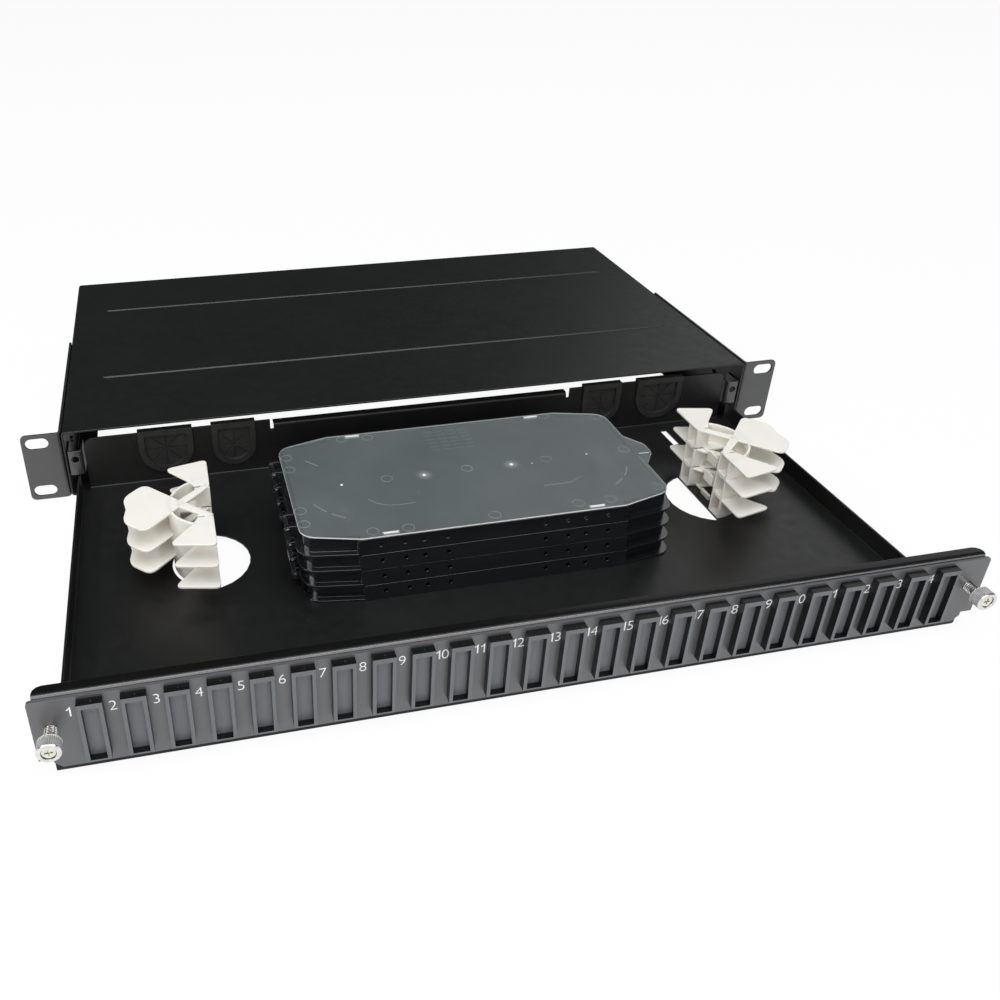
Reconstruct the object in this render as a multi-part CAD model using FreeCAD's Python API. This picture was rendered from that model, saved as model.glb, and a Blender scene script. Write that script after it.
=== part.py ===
import FreeCAD, Part
import math
import os

# Sliding fibre patch panel, one rack unit high, drawn with its drawer pulled out.
# Millimetres, X to the right, Y to the back, Z up.
# The origin is the middle of the rack slot pattern on the rear face of the ears.

# Rack interface
rack_width = 482.6
slot_inset = 8.75
slot_span_z = 31.75
slot_length = 13.0
slot_width = 7.0

# Rack ears
ear_width = 22.8
ear_thickness = 1.5
ear_leg_length = 129.5
ear_corner_radius = 3.0
ear_bend_radius = 1.0

# Screws that hold the ears to the housing
ear_screw_radius = 1.9
ear_screw_head_radius = 3.8
ear_screw_head_height = 2.2
ear_screw_crown_radius = 3.0
ear_screw_reach = 1.5
ear_screw_first = 31.5
ear_screw_pitch = 75.0
ear_screw_count = 2
screw_hole_clearance = 0.1

# Folded housing cover
sheet = 1.2
bend_radius = 0.8
housing_height = 43.6
housing_depth = 240.5
housing_flange = 13.2
bead_width = 5.0
bead_height = 0.9
bead_inset = 22.0
bead_first = 69.5
bead_pitch = 113.0
bead_count = 2
bead_end_chords = 6

# Latch brackets inside the housing mouth
latch_width = 9.0
latch_depth = 14.0
latch_height = 16.0
latch_clearance = 1.0

# Drawer tray
drawer_side_gap = 4.3
drawer_depth = 215.4
drawer_reach = 212.5
drawer_side_height = 11.9
slide_clearance = 0.2
rear_wall_gap = 6.1
rear_corner_radius = 6.0
rear_foot_depth = 8.0
lip_gap = 11.3
lip_depth = 5.5
lip_drop = 2.6
relief_width = 2.0
relief_depth = 4.0
floor_slot_length = 19.0
floor_slot_width = 4.5
floor_slot_shift = 3.0
floor_slot_inset = 20.0

# Cable grommets in the rear wall
large_grommet_inset = 47.3
large_grommet_width = 32.0
grommet_spacing = 40.5
small_grommet_width = 26.4
grommet_sill = 7.2
grommet_stand_up = 1.3
grommet_rim = 2.4
grommet_flange = 1.6
grommet_frame = 3.6
grommet_membrane = 1.0
grommet_clearance = 0.1
grommet_slit = 0.5
grommet_slit_count = 4

# Drawer front frame and adapter plate
frame_inset = 0.5
frame_flange = 5.6
frame_drop = 2.8
frame_corner_radius = 4.0
plate_overhang = 2.2
plate_margin = 3.05
plate_thickness = 1.5
plate_corner_radius = 1.5
wing_cut_width = 5.8
wing_cut_height = 5.2
wing_chamfer = 3.2

# Blanking plugs
port_count = 24
port_margin = 15.72
plug_width = 10.2
plug_margin = 3.25
plug_rise = 2.3
plug_proud = 5.5
plug_rim = 1.7
plug_recess = 3.2
plug_side_overlap = 1.3
plug_end_overlap = 2.5
plug_body_depth = 9.0
plug_wall = 1.1
plug_barb = 0.7
plug_barb_length = 2.6
plug_clearance = 0.15

# Captive thumbscrews
screw_rise = 10.4
screw_out = 12.5
screw_head_radius = 5.0
screw_head_length = 5.2
screw_knurl_count = 24
screw_disc_radius = 3.1
screw_disc_depth = 0.5
screw_cross_length = 3.4
screw_cross_width = 0.8
screw_cross_depth = 1.4
screw_shank_radius = 2.6
screw_neck_radius = 1.5
screw_thread_radius = 2.0
screw_clearance = 0.08
washer_radius = 3.6
washer_thickness = 0.8
washer_gap = 0.3
screw_engagement = 2.3
closed_gap = 3.0

# Splice cassettes
work_x = 3.2
work_y = -86.3
tray_count = 4
stack_clearance = 0.6
tray_step = 1.0
tray_length = 200.6
tray_middle_width = 101.6
tray_end_width = 93.0
tray_middle_length = 142.0
tray_corner_radius = 9.0
tray_floor = 1.2
tray_wall = 1.4
tray_inset = 3.0
tray_stack_gap = 0.2
tab_reach = 6.0
tab_root = 32.0
tab_tip = 9.0
tab_radius = 4.0
fibre_hole_radius = 1.1
fibre_hole_rise = 5.2
fibre_hole_x = (25.8, 38.0, 47.8, 60.0)
boss_x = 25.0
boss_radius = 3.4
boss_height = 6.0
boss_hole_radius = 1.55
ridge_count = 6
ridge_pitch = 3.5
ridge_width = 1.1
ridge_length = 36.0
ridge_height = 5.0
ridge_start = 13.0
spool_x = 56.0
spool_radius = 20.0
spool_wall = 1.2
spool_height = 6.0
lid_thickness = 1.0
lid_length = 197.0
lid_end_width = 85.6
lid_middle_length = 139.0
lid_tab_reach = 8.0
lid_slot_length = 8.5
lid_slot_width = 1.5
lid_slot_x = 54.4
lid_slot_edge = 1.6

# Cassette hinges at the left end
hinge_reach = 2.9
hinge_offset_y = 26.0
hinge_pin_radius = 1.2
hinge_clearance = 0.06
hinge_knuckle_radius = 2.2
hinge_knuckle_width = 8.0
hinge_lug_width = 1.8
hinge_side_gap = 0.4
hinge_pin_drop = 2.2
hinge_mouth_turn = 45.0

# Screws under the lowest cassette
tray_screw_radius = 1.5
tray_screw_head_radius = 2.9
tray_screw_length = 5.6

# Bend guides
guide_room = 26.5
guide_tiers = 3
guide_clearance = 0.8
guide_drum_radius = 22.5
guide_wall = 1.3
guide_floor = 1.2
guide_post_width = 9.0
guide_cell_depth = 8.0
guide_petal_radius = 40.5
guide_petal_width = 23.0
guide_side_radius = 45.0
guide_side_width = 44.0
guide_side_root = 3.0
guide_side_notch = 1.6
guide_petal_fillet = 2.6
guide_side_fillet = 5.0
guide_apex = 16.5
guide_strut_width = 3.4
guide_strut_end = 15.0
guide_window_depth = 10.0
guide_window_width = 18.0
guide_tongue_width = 9.0
guide_tongue_drop = 3.0
guide_tongue_rise = 3.5
floor_hole_radius = 25.0
floor_bridge_width = 15.0

# Roundness of small and moulded forms
round_error = 0.2
least_sides = 8
least_edge = 1e-6

# Places worked out from the sizes above
slot_span_x = rack_width - 2 * slot_inset
half_housing = rack_width / 2 - ear_width
inner_half = half_housing - sheet
front_y = -ear_thickness
rear_y = front_y + housing_depth
top_z = housing_height / 2
base_z = -housing_height / 2
ceiling_z = top_z - sheet
bead_length = 2 * (half_housing - bead_inset)
drawer_width = 2 * (inner_half - drawer_side_gap)
floor_bottom = base_z + sheet + slide_clearance
floor_top = floor_bottom + sheet
room_height = ceiling_z - floor_top
wall_top = floor_bottom + drawer_side_height
latch_inner = inner_half - latch_width
latch_bottom = wall_top + latch_clearance
frame_y = -drawer_reach
frame_back_y = frame_y + frame_flange
frame_top = ceiling_z
frame_width = 2 * (half_housing - frame_inset)
frame_bottom = floor_bottom - frame_drop
plate_y = frame_y - plate_thickness
rear_wall_y = frame_y + drawer_depth
rear_half = latch_inner - latch_clearance
rear_top = ceiling_z - rear_wall_gap
lip_top = rear_top - lip_drop
grommet_top = rear_top + grommet_stand_up
grommet_bottom = floor_bottom + grommet_sill
large_grommet_x = rear_half - large_grommet_inset
small_grommet_x = large_grommet_x - grommet_spacing
lip_width = 2 * (small_grommet_x - small_grommet_width / 2 - lip_gap)
floor_slot_x = large_grommet_x + floor_slot_shift
drawer_travel = front_y - closed_gap - frame_back_y
plate_width = frame_width + 2 * plate_overhang
plate_height = housing_height - 2 * plate_margin
plate_bottom = -plate_height / 2
wing_z = plate_bottom + wing_cut_height
port_pitch = (plate_width - 2 * port_margin) / port_count
plug_height = plate_height - 2 * plug_margin
plug_bottom = plug_rise - plug_height / 2
plug_body_width = plug_width - 2 * plug_side_overlap
plug_body_height = plug_height - 2 * plug_end_overlap
plug_front = plate_y - plug_proud
screw_x = inner_half - latch_width / 2
screw_z = latch_bottom + screw_rise
screw_face_y = plate_y - screw_out
frame_inside_y = frame_y + sheet
washer_y = frame_inside_y + screw_clearance
screw_travel = front_y - drawer_travel - washer_gap - washer_y - washer_thickness
screw_tip_y = front_y + sheet + screw_engagement - drawer_travel - screw_travel
hinge_x = -(tray_length / 2 + hinge_reach)
tray_pitch = (room_height - lid_thickness - stack_clearance + tray_stack_gap) / tray_count
tray_height = tray_pitch - tray_stack_gap
hinge_pin_z = tray_height - hinge_pin_drop
guide_flat_x = drawer_width / 2 - guide_side_radius - guide_room
guide_tier_height = (room_height - guide_clearance) / guide_tiers


def vec(x, y, z):
    return FreeCAD.Vector(x, y, z)


def plan(u, v):
    return vec(u, v, 0)


def across(u, v):
    return vec(u, 0, v)


def lengthwise(u, v):
    return vec(0, u, v)


def box(x0, x1, y0, y1, z0, z1):
    return Part.makeBox(x1 - x0, y1 - y0, z1 - z0, vec(x0, y0, z0))


def mirrored(shape):
    return shape.mirror(vec(0, 0, 0), vec(1, 0, 0))


def unit(a, b):
    size = math.hypot(b[0] - a[0], b[1] - a[1])
    return ((b[0] - a[0]) / size, (b[1] - a[1]) / size)


def along(point, direction, distance):
    return (point[0] + direction[0] * distance, point[1] + direction[1] * distance)


def corner_arc(before, point, after, radius):
    """Start, end and centre of the arc that rounds a corner."""
    first = unit(before, point)
    second = unit(point, after)
    turn = math.atan2(first[0] * second[1] - first[1] * second[0],
                      first[0] * second[0] + first[1] * second[1])
    side = math.copysign(1, turn)
    reach = radius * math.tan(abs(turn) / 2)
    start = along(point, first, -reach)
    end = along(point, second, reach)
    return start, end, along(start, (-first[1] * side, first[0] * side), radius)


def face_from(pieces, plane):
    """Planar face inside a closed run of lines (two points) and arcs (three points)."""
    edges = []
    for piece in pieces:
        points = [plane(*p) for p in piece]
        if len(points) == 3:
            edges.append(Part.Arc(*points).toShape())
        elif points[0].distanceToPoint(points[1]) > least_edge:
            edges.append(Part.makeLine(*points))
    return Part.Face(Part.Wire(edges))


def chord_count(radius, angle):
    """Chords that follow an arc within round_error."""
    return max(1, math.ceil(angle / (2 * math.acos(1 - min(round_error / radius, 1)))))


def outline(corners, plane):
    """Face of a polygon whose corners are (u, v) or (u, v, radius), the rounded ones in chords."""
    points = []
    for i, corner in enumerate(corners):
        point = corner[:2]
        if len(corner) == 2:
            points.append(point)
            continue
        after = corners[(i + 1) % len(corners)][:2]
        start, end, centre = corner_arc(corners[i - 1][:2], point, after, corner[2])
        first = math.atan2(start[1] - centre[1], start[0] - centre[0])
        last = math.atan2(end[1] - centre[1], end[0] - centre[0])
        sweep = (last - first + math.pi) % (2 * math.pi) - math.pi
        steps = chord_count(corner[2], abs(sweep))
        for step in range(steps + 1):
            angle = first + sweep * step / steps
            points.append(along(centre, (math.cos(angle), math.sin(angle)), corner[2]))
    return face_from(list(zip(points, points[1:] + points[:1])), plane)


def many_sided(sides, radius, plane):
    """Face of a regular polygon with its corners at the radius."""
    turns = [2 * math.pi * i / sides for i in range(sides)]
    return outline([(radius * math.cos(turn), radius * math.sin(turn)) for turn in turns], plane)


def round_sides(radius):
    return max(least_sides, chord_count(radius, 2 * math.pi))


def rod(radius, plane, start, end, centre):
    """Round bar with flat facets whose corners lie on the radius."""
    bar = prism(many_sided(round_sides(radius), radius, plane), start, end, AXES[plane])
    bar.translate(centre)
    return bar


def bore(radius, plane, start, end, centre):
    """Tool for a round hole with flat facets that touch the radius."""
    sides = round_sides(radius)
    tool = prism(many_sided(sides, radius / math.cos(math.pi / sides), plane), start, end, AXES[plane])
    tool.translate(centre)
    return tool


def folded(path, thickness, inside_radius, plane):
    """Section of a folded sheet. The path runs along its outer face and bends to the left."""
    legs = [unit(a, b) for a, b in zip(path, path[1:])]
    lefts = [(-leg[1], leg[0]) for leg in legs]
    outer, inner = [path[0]], [along(path[0], lefts[0], thickness)]
    for point, first, second in zip(path[1:], lefts, lefts[1:]):
        share = thickness / (1 + first[0] * second[0] + first[1] * second[1])
        near = (point[0] + (first[0] + second[0]) * share, point[1] + (first[1] + second[1]) * share)
        outer.append((*point, inside_radius + thickness))
        inner.append((*near, inside_radius))
    outer.append(path[-1])
    inner.append(along(path[-1], lefts[-1], thickness))
    return outline(outer + inner[::-1], plane)


def obround(length, width, plane):
    """Face of a slot with round ends, along the plane's first direction, centred on 0, 0."""
    half = (length - width) / 2
    r = width / 2
    pieces = [((-half, -r), (half, -r)), ((half, -r), (half + r, 0), (half, r)),
              ((half, r), (-half, r)), ((-half, r), (-half - r, 0), (-half, -r))]
    return face_from(pieces, plane)


def prism(face, start, end, axis):
    """Face drawn through 0, pushed from start to end along an axis."""
    solid = face.extrude(axis * (end - start))
    solid.translate(axis * start)
    return solid


def tapered(lower, upper):
    """Solid between two like rings of points, with flat sides."""
    faces = [Part.Face(Part.makePolygon(ring + ring[:1])) for ring in (lower, upper)]
    for i in range(len(lower)):
        side = [lower[i - 1], lower[i], upper[i], upper[i - 1], lower[i - 1]]
        faces.append(Part.Face(Part.makePolygon(side)))
    return Part.Solid(Part.Shell(faces))


X_AXIS = vec(1, 0, 0)
Y_AXIS = vec(0, 1, 0)
Z_AXIS = vec(0, 0, 1)
AXES = {lengthwise: X_AXIS, across: Y_AXIS, plan: Z_AXIS}


def ear_screw_places():
    """Y places of the screws along each ear's long leg."""
    return [front_y + ear_screw_first + i * ear_screw_pitch for i in range(ear_screw_count)]


def bead(y, z):
    """Raised part of a pressed stiffening bead that starts at height z."""
    foot = bead_ring(bead_width / 2, y, z)
    crown = bead_ring(bead_width / 2 - bead_height, y, z + bead_height)
    return tapered(foot, crown)


def bead_ring(radius, y, z):
    """Points round a bead at height z, with its ends in chords."""
    half = (bead_length - bead_width) / 2
    points = []
    for side in (1, -1):
        for step in range(bead_end_chords + 1):
            turn = math.pi * (step / bead_end_chords - 0.5)
            reach = half + radius * math.cos(turn)
            points.append(vec(side * reach, y + side * radius * math.sin(turn), z))
    return points


def housing_cover():
    edge = half_housing - housing_flange
    path = [(edge, base_z), (half_housing, base_z), (half_housing, top_z),
            (-half_housing, top_z), (-half_housing, base_z), (-edge, base_z)]
    cover = prism(folded(path, sheet, bend_radius, across), front_y, rear_y, Y_AXIS)
    for i in range(bead_count):
        y = front_y + bead_first + i * bead_pitch
        cover = cover.fuse(bead(y, top_z)).cut(bead(y, top_z - sheet))
    for y in ear_screw_places():
        radius = ear_screw_radius + screw_hole_clearance
        cover = cover.cut(bore(radius, lengthwise, -half_housing, half_housing, vec(0, y, 0)))
    return cover.removeSplitter()


def rack_ear():
    """Right ear: a front leg with two slots and a long leg screwed to the housing side."""
    half_rack = rack_width / 2
    half_height = top_z
    path = [(half_housing, front_y + ear_leg_length), (half_housing, front_y), (half_rack, front_y)]
    ear = prism(folded(path, ear_thickness, ear_bend_radius, plan), -half_height, half_height, Z_AXIS)
    shape = outline([(half_housing, -half_height), (half_rack, -half_height, ear_corner_radius),
                     (half_rack, half_height, ear_corner_radius), (half_housing, half_height)], across)
    ear = ear.common(prism(shape, front_y, front_y + ear_leg_length, Y_AXIS))
    for side in (-1, 1):
        slot = prism(obround(slot_length, slot_width, across), front_y, 0, Y_AXIS)
        slot.translate(vec(slot_span_x / 2, 0, side * slot_span_z / 2))
        ear = ear.cut(slot)
    for y in ear_screw_places():
        radius = ear_screw_radius + screw_hole_clearance
        ear = ear.cut(bore(radius, lengthwise, half_housing, half_housing + ear_thickness, vec(0, y, 0)))
    return ear


def ear_screws():
    """Pan-head screws through both ears into the housing sides."""
    seat = half_housing + ear_thickness
    tip = inner_half - ear_screw_reach
    screws = []
    for y in ear_screw_places():
        shank = rod(ear_screw_radius, lengthwise, tip, seat, vec(0, y, 0))
        flank = seat + ear_screw_head_height / 2
        head = rod(ear_screw_head_radius, lengthwise, seat, flank, vec(0, y, 0))
        crown = rod(ear_screw_crown_radius, lengthwise, flank, seat + ear_screw_head_height, vec(0, y, 0))
        screw = shank.fuse([head, crown])
        screws += [screw, mirrored(screw)]
    return Part.makeCompound(screws)


def latch_bracket():
    """Right bracket: a folded channel behind the housing mouth with the thumbscrew's hole."""
    end_y = front_y + latch_depth
    path = [(latch_inner, end_y), (latch_inner, front_y), (inner_half, front_y), (inner_half, end_y)]
    latch_top = latch_bottom + latch_height
    bracket = prism(folded(path, sheet, bend_radius, plan), latch_bottom, latch_top, Z_AXIS)
    radius = screw_thread_radius + screw_clearance
    return bracket.cut(bore(radius, across, front_y, front_y + sheet, vec(screw_x, 0, screw_z)))


def grommet_shape(width, inset):
    """Flat-topped, round-bottomed outline of a cable entry, smaller by inset all round."""
    half = width / 2 - inset
    top = grommet_top - inset
    bottom = grommet_bottom + inset
    return outline([(half, top), (-half, top), (-half, bottom, half), (half, bottom, half)], across)


def grommet_places():
    return [(-large_grommet_x, large_grommet_width), (-small_grommet_x, small_grommet_width),
            (small_grommet_x, small_grommet_width), (large_grommet_x, large_grommet_width)]


def grommet(x, width):
    """Rubber grommet with a front rim, a body in the wall's notch, a rear rim and a slit membrane."""
    wall_front = rear_wall_y - sheet
    seat = grommet_rim + grommet_clearance
    front = prism(grommet_shape(width, 0), wall_front - grommet_flange, wall_front, Y_AXIS)
    middle = prism(grommet_shape(width, seat), wall_front, rear_wall_y, Y_AXIS)
    rear = prism(grommet_shape(width, 0), rear_wall_y, rear_wall_y + grommet_flange, Y_AXIS)
    middle_y = (wall_front + rear_wall_y) / 2
    opening = grommet_shape(width, grommet_frame)
    front_pocket = prism(opening, wall_front - grommet_flange, middle_y - grommet_membrane / 2, Y_AXIS)
    rear_pocket = prism(opening, middle_y + grommet_membrane / 2, rear_wall_y + grommet_flange, Y_AXIS)
    body = front.fuse([middle, rear]).cut(front_pocket).cut(rear_pocket)
    centre_z = grommet_bottom + width / 2
    reach = width / 2 - grommet_frame - grommet_slit
    for i in range(grommet_slit_count):
        slit = box(-reach, reach, wall_front, rear_wall_y, -grommet_slit / 2, grommet_slit / 2)
        slit.rotate(vec(0, 0, 0), Y_AXIS, 180 * i / grommet_slit_count)
        slit.translate(vec(0, 0, centre_z))
        body = body.cut(slit)
    body.translate(vec(x, 0, 0))
    return body.removeSplitter()


def rear_wall():
    """Rear wall of the drawer, folded up from the floor, with notches and a folded middle lip."""
    foot_y = rear_wall_y - rear_foot_depth
    path = [(foot_y, floor_bottom), (rear_wall_y, floor_bottom), (rear_wall_y, rear_top)]
    wall = prism(folded(path, sheet, bend_radius, lengthwise), -rear_half, rear_half, X_AXIS)
    gap = lip_width / 2 + relief_width
    notch_z = lip_top - relief_depth
    shape = outline([(-rear_half, floor_bottom), (rear_half, floor_bottom),
                     (rear_half, rear_top, rear_corner_radius), (gap, rear_top), (gap, notch_z),
                     (-gap, notch_z), (-gap, rear_top), (-rear_half, rear_top, rear_corner_radius)], across)
    wall = wall.common(prism(shape, foot_y, rear_wall_y, Y_AXIS))
    front = rear_wall_y - sheet
    lip_path = [(front + lip_depth, lip_top), (front, lip_top), (front, notch_z - relief_depth)]
    lip = prism(folded(lip_path, sheet, bend_radius, lengthwise), -lip_width / 2, lip_width / 2, X_AXIS)
    wall = wall.fuse(lip)
    for x, width in grommet_places():
        notch = prism(grommet_shape(width, grommet_rim), front, rear_wall_y, Y_AXIS)
        notch.translate(vec(x, 0, 0))
        wall = wall.cut(notch)
    return wall


def tray_screw_places():
    return [vec(work_x + side * boss_x, work_y, floor_bottom) for side in (-1, 1)]


def countersink(growth, place):
    """Cone of a countersunk head in the drawer floor, larger by growth."""
    sides = round_sides(tray_screw_head_radius)
    mouth = ring_points(sides, tray_screw_head_radius + growth, 0)
    cone = tapered(mouth, ring_points(sides, tray_screw_radius + growth, sheet))
    cone.translate(place)
    return cone


def ring_points(sides, radius, z):
    turns = [2 * math.pi * i / sides for i in range(sides)]
    return [vec(radius * math.cos(turn), radius * math.sin(turn), z) for turn in turns]


def drawer_tray():
    half = drawer_width / 2
    path = [(-half, wall_top), (-half, floor_bottom), (half, floor_bottom), (half, wall_top)]
    end_y = rear_wall_y - sheet - bend_radius - slide_clearance
    tray = prism(folded(path, sheet, bend_radius, across), frame_inside_y, end_y, Y_AXIS)
    tray = tray.fuse(rear_wall())
    for side in (-1, 1):
        hole_x = work_x + side * (guide_flat_x + floor_bridge_width / 2)
        hole = bore(floor_hole_radius, plan, floor_bottom, floor_top, vec(hole_x, work_y, 0))
        reach = 2 * floor_hole_radius
        bridge = box(hole_x - floor_bridge_width / 2, hole_x + floor_bridge_width / 2,
                     work_y - reach, work_y + reach, floor_bottom, floor_top)
        tray = tray.cut(hole.cut(bridge))
        slot = box(-floor_slot_width / 2, floor_slot_width / 2,
                   -floor_slot_length / 2, floor_slot_length / 2, floor_bottom, floor_top)
        slot.translate(vec(side * floor_slot_x, rear_wall_y - floor_slot_inset, 0))
        tray = tray.cut(slot)
    for place in tray_screw_places():
        tray = tray.cut(countersink(screw_hole_clearance, place))
    return tray.removeSplitter()


def front_frame():
    """Channel across the drawer front, open behind the ports, with its lower ends cut away."""
    half = frame_width / 2
    path = [(frame_back_y, frame_top), (frame_y, frame_top),
            (frame_y, frame_bottom), (frame_back_y, frame_bottom)]
    frame = prism(folded(path, sheet, bend_radius, lengthwise), -half, half, X_AXIS)
    shape = outline([(-half, frame_y), (half, frame_y), (half, frame_back_y, frame_corner_radius),
                     (-half, frame_back_y, frame_corner_radius)], plan)
    frame = frame.common(prism(shape, frame_bottom, frame_top, Z_AXIS))
    cut_x = plate_width / 2 - wing_cut_width
    for x0, x1 in ((-half, -cut_x), (cut_x, half)):
        frame = frame.cut(box(x0, x1, frame_y, frame_back_y, frame_bottom, wing_z))
    window_x = (port_count - 1) * port_pitch / 2 + plug_width / 2
    plug_top = plug_bottom + plug_height
    frame = frame.cut(box(-window_x, window_x, frame_y, frame_inside_y, plug_bottom, plug_top))
    for side in (-1, 1):
        frame = frame.cut(screw_hole(side, frame_y, sheet))
    return frame


def screw_hole(side, y, depth):
    return bore(screw_shank_radius + screw_clearance, across, y, y + depth, vec(side * screw_x, 0, screw_z))


def port_places():
    return [(i - (port_count - 1) / 2) * port_pitch for i in range(port_count)]


def front_plate():
    """Adapter plate with a window for each port and a stepped cut at its lower corners."""
    half = plate_width / 2
    step = half - wing_cut_width
    foot = step - wing_chamfer
    right = [(foot, plate_bottom), (step, plate_bottom + wing_chamfer), (step, wing_z), (half, wing_z),
             (half, -plate_bottom, plate_corner_radius)]
    left = [(-half, -plate_bottom, plate_corner_radius), (-half, wing_z), (-step, wing_z),
            (-step, plate_bottom + wing_chamfer), (-foot, plate_bottom)]
    plate = prism(outline(right + left, across), plate_y, frame_y, Y_AXIS)
    width = plug_body_width / 2 + plug_clearance
    height = plug_body_height / 2 + plug_clearance
    for x in port_places():
        plate = plate.cut(box(x - width, x + width, plate_y, frame_y,
                              plug_rise - height, plug_rise + height))
    for side in (-1, 1):
        plate = plate.cut(screw_hole(side, plate_y, plate_thickness))
    return plate


def blank_plug(x):
    """Port blank: a proud frame with a sunk panel, and a hollow body with two snap barbs."""
    half = plug_width / 2
    top = plug_bottom + plug_height
    face = box(-half, half, plug_front, plate_y, plug_bottom, top)
    sunk = box(plug_rim - half, half - plug_rim, plug_front, plug_front + plug_recess,
               plug_bottom + plug_rim, top - plug_rim)
    width = plug_body_width / 2
    height = plug_body_height / 2
    end_y = plate_y + plug_body_depth
    body = box(-width, width, plate_y, end_y, plug_rise - height, plug_rise + height)
    hollow = box(plug_wall - width, width - plug_wall, plug_front + plug_recess + plug_wall, end_y,
                 plug_rise - height + plug_wall, plug_rise + height - plug_wall)
    barb_y = frame_y + plug_clearance
    barb = outline([(barb_y, height - plug_barb), (barb_y, height + plug_barb),
                    (barb_y + plug_barb_length, height - plug_barb)], lengthwise)
    upper = prism(barb, -width, width, X_AXIS)
    lower = upper.mirror(vec(0, 0, 0), Z_AXIS)
    for part in (upper, lower):
        part.translate(vec(0, 0, plug_rise))
    plug = face.cut(sunk).fuse([body, upper, lower]).cut(hollow)
    plug.translate(vec(x, 0, 0))
    return plug.removeSplitter()


def thumbscrew():
    """Right thumbscrew, one turned piece with a knurled head, drawn pulled out."""
    centre = vec(screw_x, 0, screw_z)
    rear_of_head = screw_face_y + screw_head_length
    disc_y = screw_face_y + screw_disc_depth
    neck_y = washer_y - screw_clearance
    neck_end = washer_y + washer_thickness + screw_clearance
    knurl = many_sided(screw_knurl_count, screw_head_radius, across)
    head = prism(knurl, screw_face_y, rear_of_head, Y_AXIS)
    head.translate(centre)
    head = head.cut(bore(screw_disc_radius, across, screw_face_y, disc_y, centre))
    screw = head.fuse([rod(screw_shank_radius, across, rear_of_head, neck_y, centre),
                       rod(screw_neck_radius, across, neck_y, neck_end, centre),
                       rod(screw_thread_radius, across, neck_end, screw_tip_y, centre)])
    for long, short in ((screw_cross_length, screw_cross_width), (screw_cross_width, screw_cross_length)):
        cross = box(-long / 2, long / 2, disc_y, disc_y + screw_cross_depth, -short / 2, short / 2)
        cross.translate(centre)
        screw = screw.cut(cross)
    return screw


def screw_washer():
    """Right retaining washer, in the screw's neck behind the frame."""
    centre = vec(screw_x, 0, screw_z)
    end_y = washer_y + washer_thickness
    washer = rod(washer_radius, across, washer_y, end_y, centre)
    return washer.cut(bore(screw_neck_radius + screw_clearance, across, washer_y, end_y, centre))


def cassette_outline(length, end_width, middle_length, inset):
    """Long rounded outline whose middle is wider than its ends, smaller by inset all round."""
    end = length / 2 - inset
    middle = tray_middle_width / 2 - inset
    narrow = end_width / 2 - inset
    ramp = middle_length / 2
    radius = tray_corner_radius - inset
    return outline([(-ramp, -middle), (ramp, -middle), (end, -narrow, radius), (end, narrow, radius),
                    (ramp, middle), (-ramp, middle), (-end, narrow, radius), (-end, -narrow, radius)], plan)


def tray_outline(inset):
    return cassette_outline(tray_length, tray_end_width, tray_middle_length, inset)


def pull_tab(end, reach, thickness):
    """Rounded tab at the right end that lifts a cassette or its lid."""
    inner = end - tab_radius
    tip = end + reach
    shape = outline([(inner, -tab_root / 2), (end, -tab_root / 2), (tip, -tab_tip / 2, tab_radius),
                     (tip, tab_tip / 2, tab_radius), (end, tab_root / 2), (inner, tab_root / 2)], plan)
    return prism(shape, 0, thickness, Z_AXIS)


def tray_place(level):
    """Middle of the underside of cassette number level."""
    return vec(work_x - (level - 1) * tray_step, work_y, floor_top + (level - 1) * tray_pitch)


def hinge_places():
    return (-hinge_offset_y, hinge_offset_y)


def hinge_lugs():
    """Two pairs of lugs with pins, near the top of the left end."""
    start = hinge_knuckle_width / 2 + hinge_side_gap
    end_x = tray_inset + tray_wall / 2 - tray_length / 2
    parts = []
    for y in hinge_places():
        for y0 in (y - start - hinge_lug_width, y + start):
            low = hinge_pin_z - hinge_knuckle_radius
            high = hinge_pin_z + hinge_knuckle_radius
            nose_x = hinge_x - hinge_knuckle_radius
            side = outline([(end_x, low), (end_x, high), (nose_x, high, hinge_knuckle_radius),
                            (nose_x, low, hinge_knuckle_radius)], across)
            parts.append(prism(side, y0, y0 + hinge_lug_width, Y_AXIS))
        reach = start + hinge_lug_width / 2
        parts.append(rod(hinge_pin_radius, across, y - reach, y + reach, vec(hinge_x, 0, hinge_pin_z)))
    return parts


def hinge_knuckles():
    """Snap knuckles under the left end, open to the lower left, that clip on the pins of the tray below."""
    x = hinge_x + tray_step
    z = hinge_pin_z - tray_pitch
    edge = tray_inset + tray_wall / 2 - tray_length / 2
    lip = -tray_length / 2
    parts = []
    for y in hinge_places():
        y0 = y - hinge_knuckle_width / 2
        y1 = y0 + hinge_knuckle_width
        ring = rod(hinge_knuckle_radius, across, y0, y1, vec(x, 0, z))
        arm = outline([(x, z), (x, tray_floor), (edge, tray_floor), (edge, 0), (lip, 0),
                       (x + hinge_knuckle_radius, z)], across)
        ring = ring.fuse(prism(arm, y0, y1, Y_AXIS))
        ring = ring.cut(bore(hinge_pin_radius + hinge_clearance, across, y0, y1, vec(x, 0, z)))
        mouth = box(-hinge_pin_radius / 2, hinge_pin_radius / 2, y0, y1, -2 * hinge_knuckle_radius, 0)
        mouth.rotate(vec(0, 0, 0), Y_AXIS, hinge_mouth_turn)
        mouth.translate(vec(x, 0, z))
        parts.append(ring.cut(mouth))
    return parts


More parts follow.
